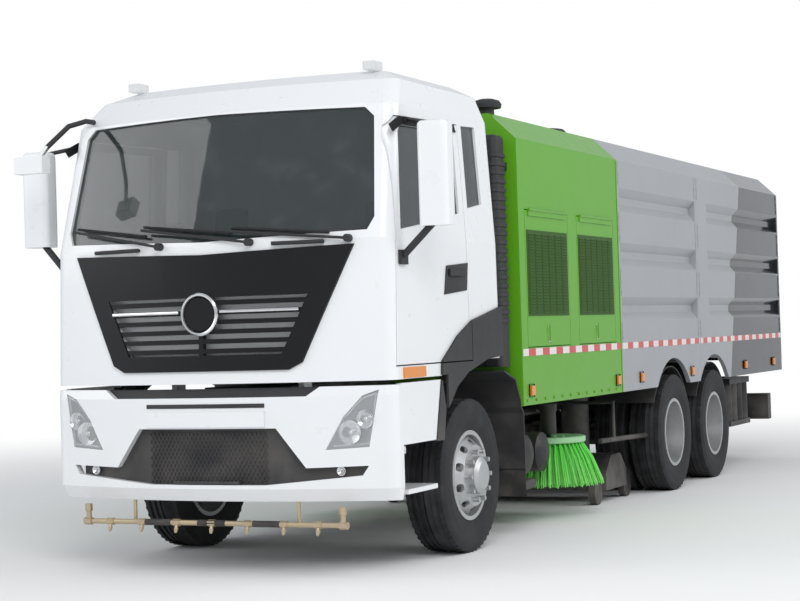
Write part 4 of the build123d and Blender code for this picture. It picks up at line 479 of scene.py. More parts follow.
def stand(mesh, name, body, finish, smooth=35.0, replaced=()):
    """Turns a bmesh into a piece with a finish that rides on a body."""
    bmesh.ops.recalc_face_normals(mesh, faces=mesh.faces)
    data = bpy.data.meshes.new(name)
    mesh.to_mesh(data)
    mesh.free()
    piece = bpy.data.objects.new(name, data)
    bpy.context.scene.collection.objects.link(piece)
    data.materials.append(FINISHES[finish])
    for polygon in data.polygons:
        polygon.use_smooth = True
    data.set_sharp_from_angle(angle=radians(smooth))
    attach(piece, body)
    if replaced:
        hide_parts(*replaced)
    return piece


def bent_on(mesh, sections, proud):
    """Cuts flat faces at even stations and lays them on the bowed front, this far ahead of it."""
    cuts = [((0.1 * step, 0, 0), (1, 0, 0)) for step in range(-12, 13)]
    cuts += [((0, 0, height), (0, 0, 1)) for height, *_ in sections[1:-1]]
    for place, across in cuts:
        everything = [*mesh.verts, *mesh.edges, *mesh.faces]
        bmesh.ops.bisect_plane(mesh, geom=everything, plane_co=place, plane_no=across)
    for vert in mesh.verts:
        vert.co.y = bowed_y(sections, vert.co.x, vert.co.z) - proud


def front_sheet(name, outline, body, finish, proud, thickness, rim=None, sections=CAB_SECTIONS):
    """A sheet, or only its rim, that follows the bowed front of the cab or the bumper."""
    mesh = bmesh.new()
    face = face_of(mesh, [(x, 0.0, z) for x, z in outline])
    if rim:
        rim_only(mesh, face, rim)
    bent_on(mesh, sections, proud)
    bmesh.ops.solidify(mesh, geom=list(mesh.faces), thickness=thickness)
    stand(mesh, name, body, finish)


RUBBER_PROUD = 0.003
RUBBER_THICKNESS = 0.008


def side_rim(name, outline, width, body, side):
    """A rubber rim round a side window, laid on the cab's leaning side."""
    mesh = bmesh.new()
    rim_only(mesh, face_of(mesh, [(0.0, back(d), z) for d, z in outline]), width)
    for vert in mesh.verts:
        vert.co.x = side * (cab_side(vert.co.z) + RUBBER_PROUD)
    bmesh.ops.recalc_face_normals(mesh, faces=mesh.faces)
    bmesh.ops.solidify(mesh, geom=list(mesh.faces), thickness=RUBBER_THICKNESS)
    stand(mesh, name, body, "rubber")


def dress(name, *nodes):
    """Gives CAD nodes one of the truck's finishes."""
    for node in nodes:
        data = NODES[node].data
        data.materials.clear()
        data.materials.append(FINISHES[name])


def dress_where(name, node, inside):
    """Gives those faces of a CAD node whose middle passes the test another of the finishes."""
    piece = NODES[node]
    piece.data.materials.append(FINISHES[name])
    for face in piece.data.polygons:
        if inside(piece.matrix_world @ face.center):
            face.material_index = len(piece.data.materials) - 1


class SWEEPER_OT_finishes(bpy.types.Operator):
    """Make the truck's finishes and put them on its main pieces"""

    bl_idname = "sweeper.finishes"
    bl_label = "Finishes"

    def execute(self, context):
        colours = context.scene.truck_colours
        FINISHES.update(
            white=paint("cab_white", tuple(colours.cab), 0.05, 0.24, 0.40, 0.008),
            green=paint("module_green", tuple(colours.module), 0.14, 0.30, 0.20, 0.02),
            silver=hopper_paint("hopper_silver", tuple(colours.hopper), (0.020, 0.021, 0.024)),
            black=paint("chassis_black", (0.018, 0.018, 0.020), 0.45, 0.45, 0.10),
            panel=paint("panel_black", (0.006, 0.006, 0.007), 0.03, 0.36, 0.05),
            plastic=plastic("trim_plastic", (0.018, 0.018, 0.020)),
            rubber=plastic("seal_rubber", (0.010, 0.010, 0.011), 0.62, 500.0),
            cast=cast("axle_castings", (0.035, 0.034, 0.034)),
            rim=metal("rim_silver", (0.60, 0.61, 0.62), 0.36, 0.25),
            chrome=metal("bright_chrome", (0.78, 0.79, 0.80), 0.10, 0.10),
            steel=metal("bare_steel", (0.50, 0.50, 0.49), 0.28, 0.45, (1.0, 1.0, 18.0)),
            brass=metal("pipe_brass", (0.62, 0.50, 0.33), 0.34, 0.35),
            tyre=tyre_rubber("tyre_rubber", (0.016, 0.016, 0.017)),
            glass=tinted_glass("cab_glass_tint", (0.030, 0.040, 0.042), 0.42),
            lens=lamp_lens("clear_lens", (0.80, 0.82, 0.84), 0.55),
            amber=lamp_lens("amber_lens", (0.95, 0.30, 0.02), 0.04),
            red=lamp_lens("red_lens", (0.62, 0.02, 0.02), 0.04),
            tape=warning_tape("warning_tape", (0.60, 0.020, 0.018), (0.78, 0.76, 0.72)),
            fabric=fabric("seat_cloth", (0.10, 0.10, 0.11)),
            # Louvre fields: the module green darkened to a quarter, painted shade of the slots under the hoods
            louvre=paint("louvre_green_painted_shade", scaled(colours.module, 0.25), 0.20, 0.45, 0.05),
            disc=paint("brush_disc", (0.30, 0.62, 0.30), 0.30, 0.40),
            mirror=metal("mirror_silver", (0.85, 0.87, 0.88), 0.03, 0.0),
            bristle=bristle_plastic("brush_bristles", tuple(colours.bristles), (0.30, 0.72, 0.20)),
        )
        dress("white", "cab_shell", "door_left", "door_right", "bumper", "step_skirts",
              "door_mirror_left", "door_mirror_right")
        dress("green", "green_module", *[n for n in NODES if n.startswith("equipment_door")])
        dress("silver", "water_tank", "hopper", "rear_door")
        dress("black", "chassis_frame", "rear_underride", "suction_nozzle", "brush_arm_left", "brush_arm_right",
              "tip_barrels", "pipes_and_chambers", "roof_hatch")
        dress("panel", "front_panel")
        dress("plastic", "air_intake", "bumper_inner", "cab_trim", "mudguards", "steering_wheel", "cab_interior")
        dress("cast", "front_axle", "rear_axles", "engines", "knuckle_left", "knuckle_right", "tie_rod")
        dress("rim", *[n for n in NODES if n.startswith("rim_")])
        dress("tyre", *[n for n in NODES if n.startswith("tyre_")])
        dress("glass", "cab_glass", "door_glass_left", "door_glass_right")
        dress("amber", "side_lamps", "hopper_lamps", "cab_lamps")
        dress("lens", "headlamps")
        dress("steel", "tip_rods")
        dress("brass", "spray_bar")
        dress("bristle", "side_brush_left", "side_brush_right")
        dress_where("lens", "cab_lamps", lambda place: place.z > 3.1)
        dress_where("white", "cab_trim", lambda place: place.z > 2.6 and place.y < back(-1.63))
        for hand, side in SIDES:
            dress_where("plastic", f"door_mirror_{hand}", lambda place: place.z < 2.1 or abs(place.x) < 1.375)
        return {"FINISHED"}


# Half of the tyre's section: radius, distance from the tyre's middle plane; the tread side last
TYRE_WALL = (
    (0.296, 0.104), (0.300, 0.118), (0.318, 0.124), (0.350, 0.134), (0.395, 0.1440), (0.425, 0.1450),
    (0.455, 0.1425), (0.466, 0.1440), (0.478, 0.1420), (0.492, 0.1380), (0.508, 0.1330), (0.5165, 0.1260),
)
TREAD_GROOVES = (0.088, 0.044, 0.0)
GROOVE_HALF = 0.0062


class SWEEPER_OT_tyres(bpy.types.Operator):
    """Tyres with grooved treads, in place of the plain ones"""

    bl_idname = "sweeper.tyres"
    bl_label = "Tyres"

    def execute(self, context):
        depth = context.scene.truck_sizes.groove_depth
        half = list(TYRE_WALL)
        for groove in TREAD_GROOVES:
            top = 0.5215 - 0.35 * groove ** 2
            half.append((top, groove + GROOVE_HALF))
            half.append((top - depth, groove + 0.5 * GROOVE_HALF))
        section = half + [(radius, -along) for radius, along in reversed(half)]
        for place, distance, middles in WHEELS:
            for hand, side in SIDES:
                mesh = bmesh.new()
                for middle in middles:
                    turned(mesh, section, (side * middle, back(distance), AXLE_Z), (1, 0, 0), 80)
                    self.sipes(mesh, side * middle, back(distance), depth)
                stand(mesh, f"tyre_tread_{place}_{hand}", f"{place}_wheel_{hand}", "tyre",
                      replaced=(f"tyre_{place}_{hand}",))
        return {"FINISHED"}

    def sipes(self, mesh, x, y, depth):
        """Shoulder lugs in a ring on both edges of the tread."""
        count = 54
        for step in range(count):
            turn = Matrix.Rotation(2 * pi * step / count, 4, "X")
            for edge in (-1, 1):
                low, high = zip(sorted((0.095 * edge, 0.129 * edge)), (-0.0115, 0.0115), (0.5060, 0.5205))
                verts = cuboid(mesh, low, high)
                bmesh.ops.transform(mesh, matrix=Matrix.Translation((x, y, AXLE_Z)) @ turn, verts=verts)


WINDSCREEN = (
    (-1.128, 2.230), (-1.090, 2.150), (0.0, 2.115), (1.090, 2.150), (1.128, 2.230),
    (1.072, 2.870), (1.010, 2.930), (0.0, 2.945), (-1.010, 2.930), (-1.072, 2.870),
)
# Distance behind the front axle, height
SIDE_WINDOW = ((-1.195, 2.150), (-0.820, 2.200), (-0.240, 2.290), (-0.240, 2.835), (-1.085, 2.815), (-1.120, 2.770))
QUARTER_WINDOW = ((-0.090, 2.330), (0.165, 2.370), (0.150, 2.900), (-0.090, 2.890))
VISOR = ((-1.270, 2.800), (-1.110, 2.865), (-0.230, 2.885), (-0.200, 2.835), (-1.080, 2.812), (-1.215, 2.755))
# Pivot x, tip x, tip height, with every pivot at the scuttle
WIPERS = ((-0.303, -1.040, 2.235), (0.352, -0.450, 2.215), (0.990, 0.216, 2.175))
SCUTTLE_Z = 2.100


class SWEEPER_OT_cab_trim(bpy.types.Operator):
    """Window rubbers, wiper blades, visors and door handles"""

    bl_idname = "sweeper.cab_trim"
    bl_label = "Cab trim"

    def execute(self, context):
        front_sheet("windscreen_rubber", self.grown(WINDSCREEN, 0.030), "cab", "rubber", 0.004, 0.010, rim=0.055)
        for hand, side in SIDES:
            side_rim(f"window_rubber_{hand}", self.grown(SIDE_WINDOW, 0.020), 0.038, f"cab_door_{hand}", side)
            side_rim(f"quarter_rubber_{hand}", self.grown(QUARTER_WINDOW, 0.020), 0.036, "cab", side)
            self.handle(hand, side)
            self.visor(hand, side)
        self.wipers()
        return {"FINISHED"}

    def grown(self, outline, amount):
        """The outline moved outwards from its middle."""
        middle = [sum(part) / len(outline) for part in zip(*outline)]
        return [
            tuple(part + amount * (1 if part > centre else -1) for part, centre in zip(corner, middle))
            for corner in outline
        ]

    def handle(self, hand, side):
        """Sunk grip plate and its pull on a door."""
        mesh = bmesh.new()
        outline = ((-0.565, 1.745), (-0.190, 1.775), (-0.160, 1.960), (-0.520, 1.935))
        face = cab_side(1.85)
        flat_plate(mesh, [(side * (face + 0.001), back(d), z) for d, z in outline], (side * 0.007, 0, 0))
        eased(mesh, 0.003)
        side_box(mesh, side, (face + 0.010, face + 0.026), (-0.500, -0.240), (1.868, 1.915))
        for distance in (-0.490, -0.260):
            side_box(mesh, side, (face + 0.004, face + 0.012), (distance, distance + 0.03), (1.872, 1.91))
        stand(mesh, f"door_handle_{hand}", f"cab_door_{hand}", "plastic")

    def visor(self, hand, side):
        """Dark rain visor over a door's window."""
        mesh = bmesh.new()
        face = face_of(mesh, [(0.0, back(d), z) for d, z in VISOR])
        for vert in mesh.verts:
            vert.co.x = side * (cab_side(vert.co.z) + 0.010)
        bmesh.ops.solidify(mesh, geom=[face], thickness=0.006)
        stand(mesh, f"rain_visor_{hand}", f"cab_door_{hand}", "plastic")

    def wipers(self):
        """Three wiper arms' blades, lying on the windscreen."""
        mesh = bmesh.new()
        for pivot_x, tip_x, tip_z in WIPERS:
            start_x = pivot_x + 0.16 * (tip_x - pivot_x)
            start_z = SCUTTLE_Z + 0.55 * (tip_z - SCUTTLE_Z)
            places = []
            for step in range(9):
                x = start_x + (tip_x - start_x) * step / 8
                z = start_z + (tip_z + 0.02 - start_z) * step / 8
                places.append((x, nose_y(x, z) - 0.014, z))
            bent_rod(mesh, places, 0.009)
        stand(mesh, "wiper_blades", "cab", "rubber")


PANEL = (
    (-0.600, 1.300), (0.600, 1.300), (0.690, 1.345), (0.830, 1.650), (1.020, 2.065),
    (0.0, 2.035), (-1.020, 2.065), (-0.830, 1.650), (-0.690, 1.345),
)
GRILLE = ((-0.560, 1.400), (0.560, 1.400), (0.730, 1.765), (-0.730, 1.765))
PANEL_PROUD = 0.016
# Inner end and length of a bright bar of the grille
BRIGHT_BAR = (0.15, 0.53)


class SWEEPER_OT_front_panel(bpy.types.Operator):
    """Lip, grille rim, bright bars and blank round boss of the front panel"""

    bl_idname = "sweeper.front_panel"
    bl_label = "Front panel"

    def execute(self, context):
        front_sheet("front_panel_lip", PANEL, "cab", "panel", PANEL_PROUD + 0.0125, 0.012, rim=0.030)
        front_sheet("grille_rim", GRILLE, "cab", "panel", PANEL_PROUD + 0.0165, 0.016, rim=0.024)
        mesh = bmesh.new()
        for side in (-1, 1):
            stations = [BRIGHT_BAR[0] + BRIGHT_BAR[1] * step / 8 for step in range(9)]
            bent_rod(mesh, [(side * x, nose_y(x, 1.68) - PANEL_PROUD - 0.012, 1.675) for x in stations], 0.012)
        stand(mesh, "grille_bright_bars", "cab", "chrome")
        ring = bmesh.new()
        front = nose_y(0.0, 1.66) - PANEL_PROUD
        turned(ring, ((0.112, 0.0), (0.136, 0.0), (0.136, 0.018), (0.128, 0.026), (0.118, 0.024), (0.112, 0.014)),
               (0.0, front + 0.002, 1.66), (0, -1, 0), 64)
        stand(ring, "boss_ring", "cab", "chrome")
        boss = bmesh.new()
        rod(boss, (0.0, front + 0.006, 1.66), (0.0, front - 0.012, 1.66), 0.1125, 0.106, sides=64)
        stand(boss, "boss_face", "cab", "panel")
        return {"FINISHED"}


# Corners on the left side; the right side is mirrored
LAMP = ((0.815, 0.800), (1.085, 0.815), (1.150, 1.165), (1.050, 1.130), (0.930, 1.000))
MESH_SPAN = ((-0.42, 0.600), (0.42, 0.925))
MESH_PITCH = 0.030
# Name, finish, half widths below and above, heights, distance ahead of the bumper, thickness
BUMPER_SHEETS = (
    ("plate_panel", "white", 0.43, 0.43, 0.948, 1.046, 0.012, 0.011),
    ("bumper_vent_strip", "plastic", 0.43, 0.43, 1.068, 1.094, 0.004, 0.003),
    # Dark sheet at the back of the air slot under the cab: painted shade in the slot
    ("bumper_slot_shade_sheet", "plastic", 0.70, 0.80, 1.132, 1.188, -0.040, 0.004),
)


class SWEEPER_OT_bumper(bpy.types.Operator):
    """Headlamp insides, honeycomb mesh, fog lamps, step ribs and blank plate panel"""

    bl_idname = "sweeper.bumper"
    bl_label = "Bumper"

    def execute(self, context):
        for hand, side in SIDES:
            self.headlamp(hand, side)
        self.honeycomb()
        for name, finish, low_half, high_half, low_z, high_z, proud, thickness in BUMPER_SHEETS:
            outline = ((-low_half, low_z), (low_half, low_z), (high_half, high_z), (-high_half, high_z))
            front_sheet(name, outline, "chassis", finish, proud, thickness, sections=BUMPER_SECTIONS)
        ribs = bmesh.new()
        for step in range(17):
            x = -0.232 + 0.029 * step
            cuboid(ribs, (x - 0.006, back(-1.558), 0.6075), (x + 0.006, back(-1.506), 0.613))
        stand(ribs, "bumper_step_ribs", "chassis", "plastic")
        return {"FINISHED"}

    def headlamp(self, hand, side):
        """Dark housing sheet, two projector bowls and a light strip in a corner lamp."""
        outline = [(side * x, z) for x, z in LAMP]
        front_sheet(f"headlamp_housing_{hand}", outline, "chassis", "panel", -0.030, 0.006,
                    sections=BUMPER_SECTIONS)
        bowls = bmesh.new()
        for x, z, radius in ((0.965, 0.905, 0.072), (1.060, 0.985, 0.055)):
            y = bowed_y(BUMPER_SECTIONS, x, z) + 0.030
            profile = ((0.018, 0.0), (0.6 * radius, 0.006), (radius, 0.022), (radius + 0.004, 0.022),
                       (0.66 * radius, 0.0), (0.018, -0.004))
            turned(bowls, profile, (side * x, y, z), (0, -1, 0), 40)
            bmesh.ops.create_icosphere(bowls, subdivisions=3, radius=0.020,
                                       matrix=Matrix.Translation((side * x, y - 0.004, z)))
        stand(bowls, f"headlamp_bowls_{hand}", "chassis", "chrome")
        strip = bmesh.new()
        points = ((0.940, 1.000), (1.045, 1.112), (1.130, 1.142), (1.085, 0.835), (0.860, 0.822))
        bent_rod(strip, [(side * x, bowed_y(BUMPER_SECTIONS, x, z) + 0.010, z) for x, z in points], 0.006)
        stand(strip, f"headlamp_strip_{hand}", "chassis", "lens")
        fog = bmesh.new()
        y = bowed_y(BUMPER_SECTIONS, 0.90, 0.665) + 0.034
        turned(fog, ((0.004, 0.0), (0.022, 0.002), (0.030, 0.014), (0.026, 0.014), (0.004, -0.006)),
               (side * 0.90, y, 0.668), (0, -1, 0), 32)
        stand(fog, f"fog_lamp_{hand}", "chassis", "chrome")

    def honeycomb(self):
        """Honeycomb mesh in front of the beam plate, as linked six-sided rings."""
        (low_x, low_z), (high_x, high_z) = MESH_SPAN
        mesh = bmesh.new()
        row, z = 0, low_z
        while z < high_z:
            x = low_x + (MESH_PITCH / 2 if row % 2 else 0.0)
            while x < high_x:
                half_width = 0.50 + 0.19 * (0.938 - z) / 0.25
                if abs(x) < min(half_width, 0.43):
                    y = bowed_y(BUMPER_SECTIONS, x, max(z, 0.60)) + 0.040
                    made = bmesh.ops.create_circle(
                        mesh, segments=6, radius=MESH_PITCH * 0.56, cap_ends=True,
                        matrix=Matrix.Translation((x, y, z)) @ Matrix.Rotation(pi / 2, 4, "X"),
                    )
                    face = made["verts"][0].link_faces[0]
                    bmesh.ops.inset_individual(mesh, faces=[face], thickness=0.003)
                    bmesh.ops.delete(mesh, geom=[face], context="FACES")
                x += MESH_PITCH
            z += MESH_PITCH * 0.84
            row += 1
        bmesh.ops.solidify(mesh, geom=list(mesh.faces), thickness=0.005)
        stand(mesh, "bumper_honeycomb", "chassis", "plastic")


# Y and height of the bar, and the nozzles along it
SPRAY_BAR = (back(-1.500), 0.340)
SPRAY_NOZZLES = (-0.76, -0.52, -0.26, 0.0, 0.26, 0.52, 0.76)


class SWEEPER_OT_spray_bar(bpy.types.Operator):
    """Nozzles, nuts and rubber sleeves of the front spray bar"""

    bl_idname = "sweeper.spray_bar"
    bl_label = "Spray bar"

    def execute(self, context):
        y, z = SPRAY_BAR
        fittings = bmesh.new()
        for x in SPRAY_NOZZLES:
            rod(fittings, (x - 0.026, y, z), (x + 0.026, y, z), 0.023, sides=6)
            rod(fittings, (x, y - 0.010, z - 0.035), (x, y - 0.019, z - 0.064), 0.015, 0.008, sides=12)
        for side in (-1, 1):
            rod(fittings, (side * 0.905, y, z), (side * 0.962, y, z), 0.025, sides=6)
            rod(fittings, (side * 0.93, y, z + 0.065), (side * 0.93, y, z + 0.112), 0.024, sides=6)
        stand(fittings, "spray_fittings", "chassis", "brass")
        sleeves = bmesh.new()
        for start, end in ((-0.49, -0.30), (-0.10, 0.10), (0.30, 0.49)):
            rod(sleeves, (start, y, z), (end, y, z), 0.0205, sides=20)
        stand(sleeves, "spray_rubber_sleeves", "chassis", "rubber")
        return {"FINISHED"}


DOOR_SPANS = ((0.910, 1.830), (2.030, 2.930))
LOUVRE_SPAN_Z = (1.612, 2.206)
# Corners of a louvre's hood: how far out, which way along, up or down
LOUVRE_HOOD = ((0.0028, -1.0, 1.0), (0.0028, 1.0, 1.0), (0.0115, 0.93, -1.0), (0.0115, -0.93, -1.0))
# Dish and paddle: outward start and end, half length, heights
LATCH_BOXES = ((0.0006, 0.0040, 0.034, (1.400, 1.525)), (0.0040, 0.0115, 0.020, (1.425, 1.500)))
# Outward reach of thin sheets laid on the body's sides
SHEET_X = (BODY_HALF + 0.0006, BODY_HALF + 0.0030)


class SWEEPER_OT_module(bpy.types.Operator):
    """Louvres, latches, corner mouldings and bolts of the green engine module"""

    bl_idname = "sweeper.module"
    bl_label = "Engine module"

    def execute(self, context):
        sizes = context.scene.truck_sizes
        for (front, rear), place in zip(DOOR_SPANS, ("front", "rear")):
            for hand, side in SIDES:
                body = f"module_door_{place}_{hand}"
                self.louvres(front, rear, side, body, sizes.louvre_columns, sizes.louvre_rows, f"{place}_{hand}")
                self.furniture(front, rear, side, body, f"{place}_{hand}")
        self.seams()
        return {"FINISHED"}

    def louvres(self, front, rear, side, body, columns, rows, label):
        """Rows of pressed louvre hoods on a plate over the slots of a door, in a darkened green that is painted
        shade of the slots.
        """
        low_z, high_z = LOUVRE_SPAN_Z
        start, end = front + 0.040, rear - 0.040
        width = (end - start) / columns
        height = (high_z - low_z) / rows
        mesh = bmesh.new()
        side_box(mesh, side, SHEET_X, (start - 0.012, end + 0.012), (low_z - 0.018, high_z + 0.018))
        for column in range(columns):
            for row in range(rows):
                y = start + (column + 0.5) * width
                z = low_z + (row + 0.5) * height
                half = 0.43 * width
                corners = [
                    (side * (BODY_HALF + out), back(y + turn * half), z + 0.30 * rise * height)
                    for out, turn, rise in LOUVRE_HOOD
                ]
                flat_plate(mesh, corners, (-side * 0.0040, 0.0, -0.0015))
        stand(mesh, f"louvres_{label}", body, "louvre", smooth=25.0)

    def furniture(self, front, rear, side, body, label):
        """Paddle latch and its dish."""
        middle = (front + rear) / 2
        latch = bmesh.new()
        for start, end, half, z in LATCH_BOXES:
            side_box(latch, side, (BODY_HALF + start, BODY_HALF + end), (middle - half, middle + half), z)
        eased(latch, 0.0016)
        stand(latch, f"latch_{label}", body, "chrome")

    def seams(self):
        """Corner mouldings and bolt heads of the module's walls."""
        for hand, side in SIDES:
            mesh = bmesh.new()
            for distance in (0.780, 3.055):
                side_box(mesh, side, (BODY_HALF + 0.0005, BODY_HALF + 0.004), (distance, distance + 0.018),
                         (0.955, 2.875))
            for step in range(12):
                distance = 0.86 + 0.185 * step
                rod(mesh, (side * (BODY_HALF + 0.0005), back(distance), 0.985),
                    (side * (BODY_HALF + 0.0085), back(distance), 0.985), 0.011, sides=6)
            stand(mesh, f"module_seams_{hand}", "chassis", "green")


TAPE_Z = 1.332
# Name, body, start and end behind the front axle
TAPES = (
    ("module", "chassis", 0.790, 3.070), ("tank", "chassis", 3.090, 5.430), ("hopper", "hopper_body", 5.470, 8.700),
)
# Body, where its side lamps are
SIDE_LAMPS = (("chassis", (0.944, 2.936, 3.580, 5.140)), ("hopper_body", (7.100, 8.300)))
SIDE_LAMP_Z = 1.055
# Name, body, where its joint strips start; the heights that each strip covers
JOINTS = (("tank", "chassis", (3.100, 5.395)), ("hopper", "hopper_body", (5.480, 8.660)))
STRIP_SPANS = ((2.665, 2.868), (2.205, 2.445), (1.750, 1.985), (1.370, 1.530))


class SWEEPER_OT_body_trim(bpy.types.Operator):
    """Warning tape, joint strips and lamp rims of module, tank and hopper"""

    bl_idname = "sweeper.body_trim"
    bl_label = "Body trim"

    def execute(self, context):
        height = context.scene.truck_sizes.tape_height
        for hand, side in SIDES:
            for name, body, start, end in TAPES:
                mesh = bmesh.new()
                side_box(mesh, side, SHEET_X, (start, end), (TAPE_Z - height / 2, TAPE_Z + height / 2))
                eased(mesh, 0.0006, 1)
                stand(mesh, f"warning_tape_{name}_{hand}", body, "tape")
            self.lamps(hand, side)
            self.strips(hand, side)
        return {"FINISHED"}

    def lamps(self, hand, side):
        """Black rims round the amber side lamps."""
        for body, stations in SIDE_LAMPS:
            mesh = bmesh.new()
            for station in stations:
                corners = [
                    (side * (BODY_HALF + 0.001), back(station + across), SIDE_LAMP_Z + up)
                    for across, up in ((-0.048, -0.047), (0.048, -0.047), (0.048, 0.047), (-0.048, 0.047))
                ]
                rim_only(mesh, face_of(mesh, corners), 0.011)
            pull(mesh, list(mesh.faces), (side * 0.009, 0, 0))
            stand(mesh, f"lamp_rims_{body}_{hand}", body, "rubber")

    def strips(self, hand, side):
        """Riveted joint strips of the pressed side sheets."""
        for name, body, stations in JOINTS:
            mesh = bmesh.new()
            for station in stations:
                for low_z, high_z in STRIP_SPANS:
                    side_box(mesh, side, (BODY_HALF + 0.0005, BODY_HALF + 0.0035), (station, station + 0.028),
                             (low_z, high_z))
                    for height in (low_z + 0.03, (low_z + high_z) / 2, high_z - 0.03):
                        rod(mesh, (side * (BODY_HALF + 0.003), back(station + 0.014), height),
                            (side * (BODY_HALF + 0.0075), back(station + 0.014), height), 0.008, 0.005, sides=10)
            stand(mesh, f"joint_strips_{name}_{hand}", body, "silver")


# A brush's middle: outwards, behind the front axle
BRUSH = (0.905, 2.200)
BRUSH_ROOT_Z = 0.590
# Rings of tufts from the outside in: radius at the root, radius at the tip, lowest height
TUFT_RINGS = ((0.262, 0.425, 0.262), (0.235, 0.375, 0.264), (0.205, 0.320, 0.268))


class SWEEPER_OT_brushes(bpy.types.Operator):
    """Plates and tufts of the side brushes"""

    bl_idname = "sweeper.brushes"
    bl_label = "Side brushes"

    def execute(self, context):
        tufts = context.scene.truck_sizes.tufts
        for hand, side in SIDES:
            centre = Vector((side * BRUSH[0], back(BRUSH[1]), 0.0))
            mesh = bmesh.new()
            self.plate(mesh, centre)
            stand(mesh, f"brush_plate_{hand}", f"brush_{hand}", "disc")
            mesh = bmesh.new()
            for ring, sizes in enumerate(TUFT_RINGS):
                count = tufts - 6 * ring
                for tuft in range(count):
                    self.tuft(mesh, centre, 2 * pi * (tuft + 0.4 * ring) / count, *sizes, tuft + ring)
            stand(mesh, f"brush_tufts_{hand}", f"brush_{hand}", "bristle",
                  replaced=(f"side_brush_{hand}",))
        return {"FINISHED"}

    def plate(self, mesh, centre):
        """Pale ring plate with its bolt heads."""
        profile = ((0.022, 0.612), (0.200, 0.612), (0.216, 0.596), (0.286, 0.596), (0.292, 0.604), (0.292, 0.640),
                   (0.284, 0.645), (0.222, 0.645), (0.200, 0.632), (0.022, 0.632))
        turned(mesh, profile, centre, (0, 0, 1), 64)
        for step in range(8):
            angle = 2 * pi * step / 8
            x, y = centre.x + 0.120 * cos(angle), centre.y + 0.120 * sin(angle)
            rod(mesh, (x, y, 0.631), (x, y, 0.642), 0.014, sides=6)

    def tuft(self, mesh, centre, angle, root, tip, low, seed):
        """One tuft: bristles that leave together and fan outwards."""
        for bristle in range(9):
            lean = 0.045 * sin(12.9 * bristle + 7.3 * seed)
            reach = tip * (0.93 + 0.07 * sin(4.1 * bristle + 3.7 * seed))
            start_turn = angle + 0.012 * (bristle % 3 - 1)
            end_turn = angle + lean
            drop = low + 0.030 * (0.5 + 0.5 * sin(9.7 * bristle + 1.9 * seed))
            stations = (
                (root, start_turn, BRUSH_ROOT_Z + 0.008),
                (0.5 * root + 0.5 * reach, end_turn, 0.5 * BRUSH_ROOT_Z + 0.5 * drop + 0.035),
                (reach, end_turn, drop),
            )
            start, knee, end = (
                (centre.x + radius * cos(turn), centre.y + radius * sin(turn), z) for radius, turn, z in stations
            )
            rod(mesh, start, knee, 0.0052, 0.0060, sides=5)
            rod(mesh, knee, end, 0.0060, 0.0045, sides=5)


def upright(x, z, y):
    """Corners of an upright oblong across the truck."""
    return [(x[0], y, z[0]), (x[1], y, z[0]), (x[1], y, z[1]), (x[0], y, z[1])]


class SWEEPER_OT_mirrors(bpy.types.Operator):
    """Mirror faces and the dark sleeves of the mirrors' arms"""

    bl_idname = "sweeper.mirrors"
    bl_label = "Mirrors"

    def execute(self, context):
        for hand, side in SIDES:
            mesh = bmesh.new()
            flat_plate(mesh, upright((side * 1.402, side * 1.558), (2.200, 2.775), back(-1.104)), (0.0, 0.006, 0.0))
            eased(mesh, 0.0025)
            stand(mesh, f"mirror_face_{hand}", f"cab_door_{hand}", "mirror")
            arms = bmesh.new()
            rod(arms, (side * 1.263, back(-1.2128), 1.988), (side * 1.450, back(-1.185), 2.175), 0.0225, sides=20)
            rod(arms, (side * 1.222, back(-1.005), 2.8508), (side * 1.440, back(-1.155), 2.797), 0.0140, sides=16)
            stand(arms, f"mirror_arm_sleeves_{hand}", f"cab_door_{hand}", "plastic")
        mesh = bmesh.new()
        flat_plate(mesh, upright((-1.245, -1.055), (2.622, 2.706), back(-1.669)), (0.0, 0.004, 0.0))
        eased(mesh, 0.0015)
        stand(mesh, "front_mirror_face", "cab", "mirror")
        return {"FINISHED"}


SEAT_X = 0.600


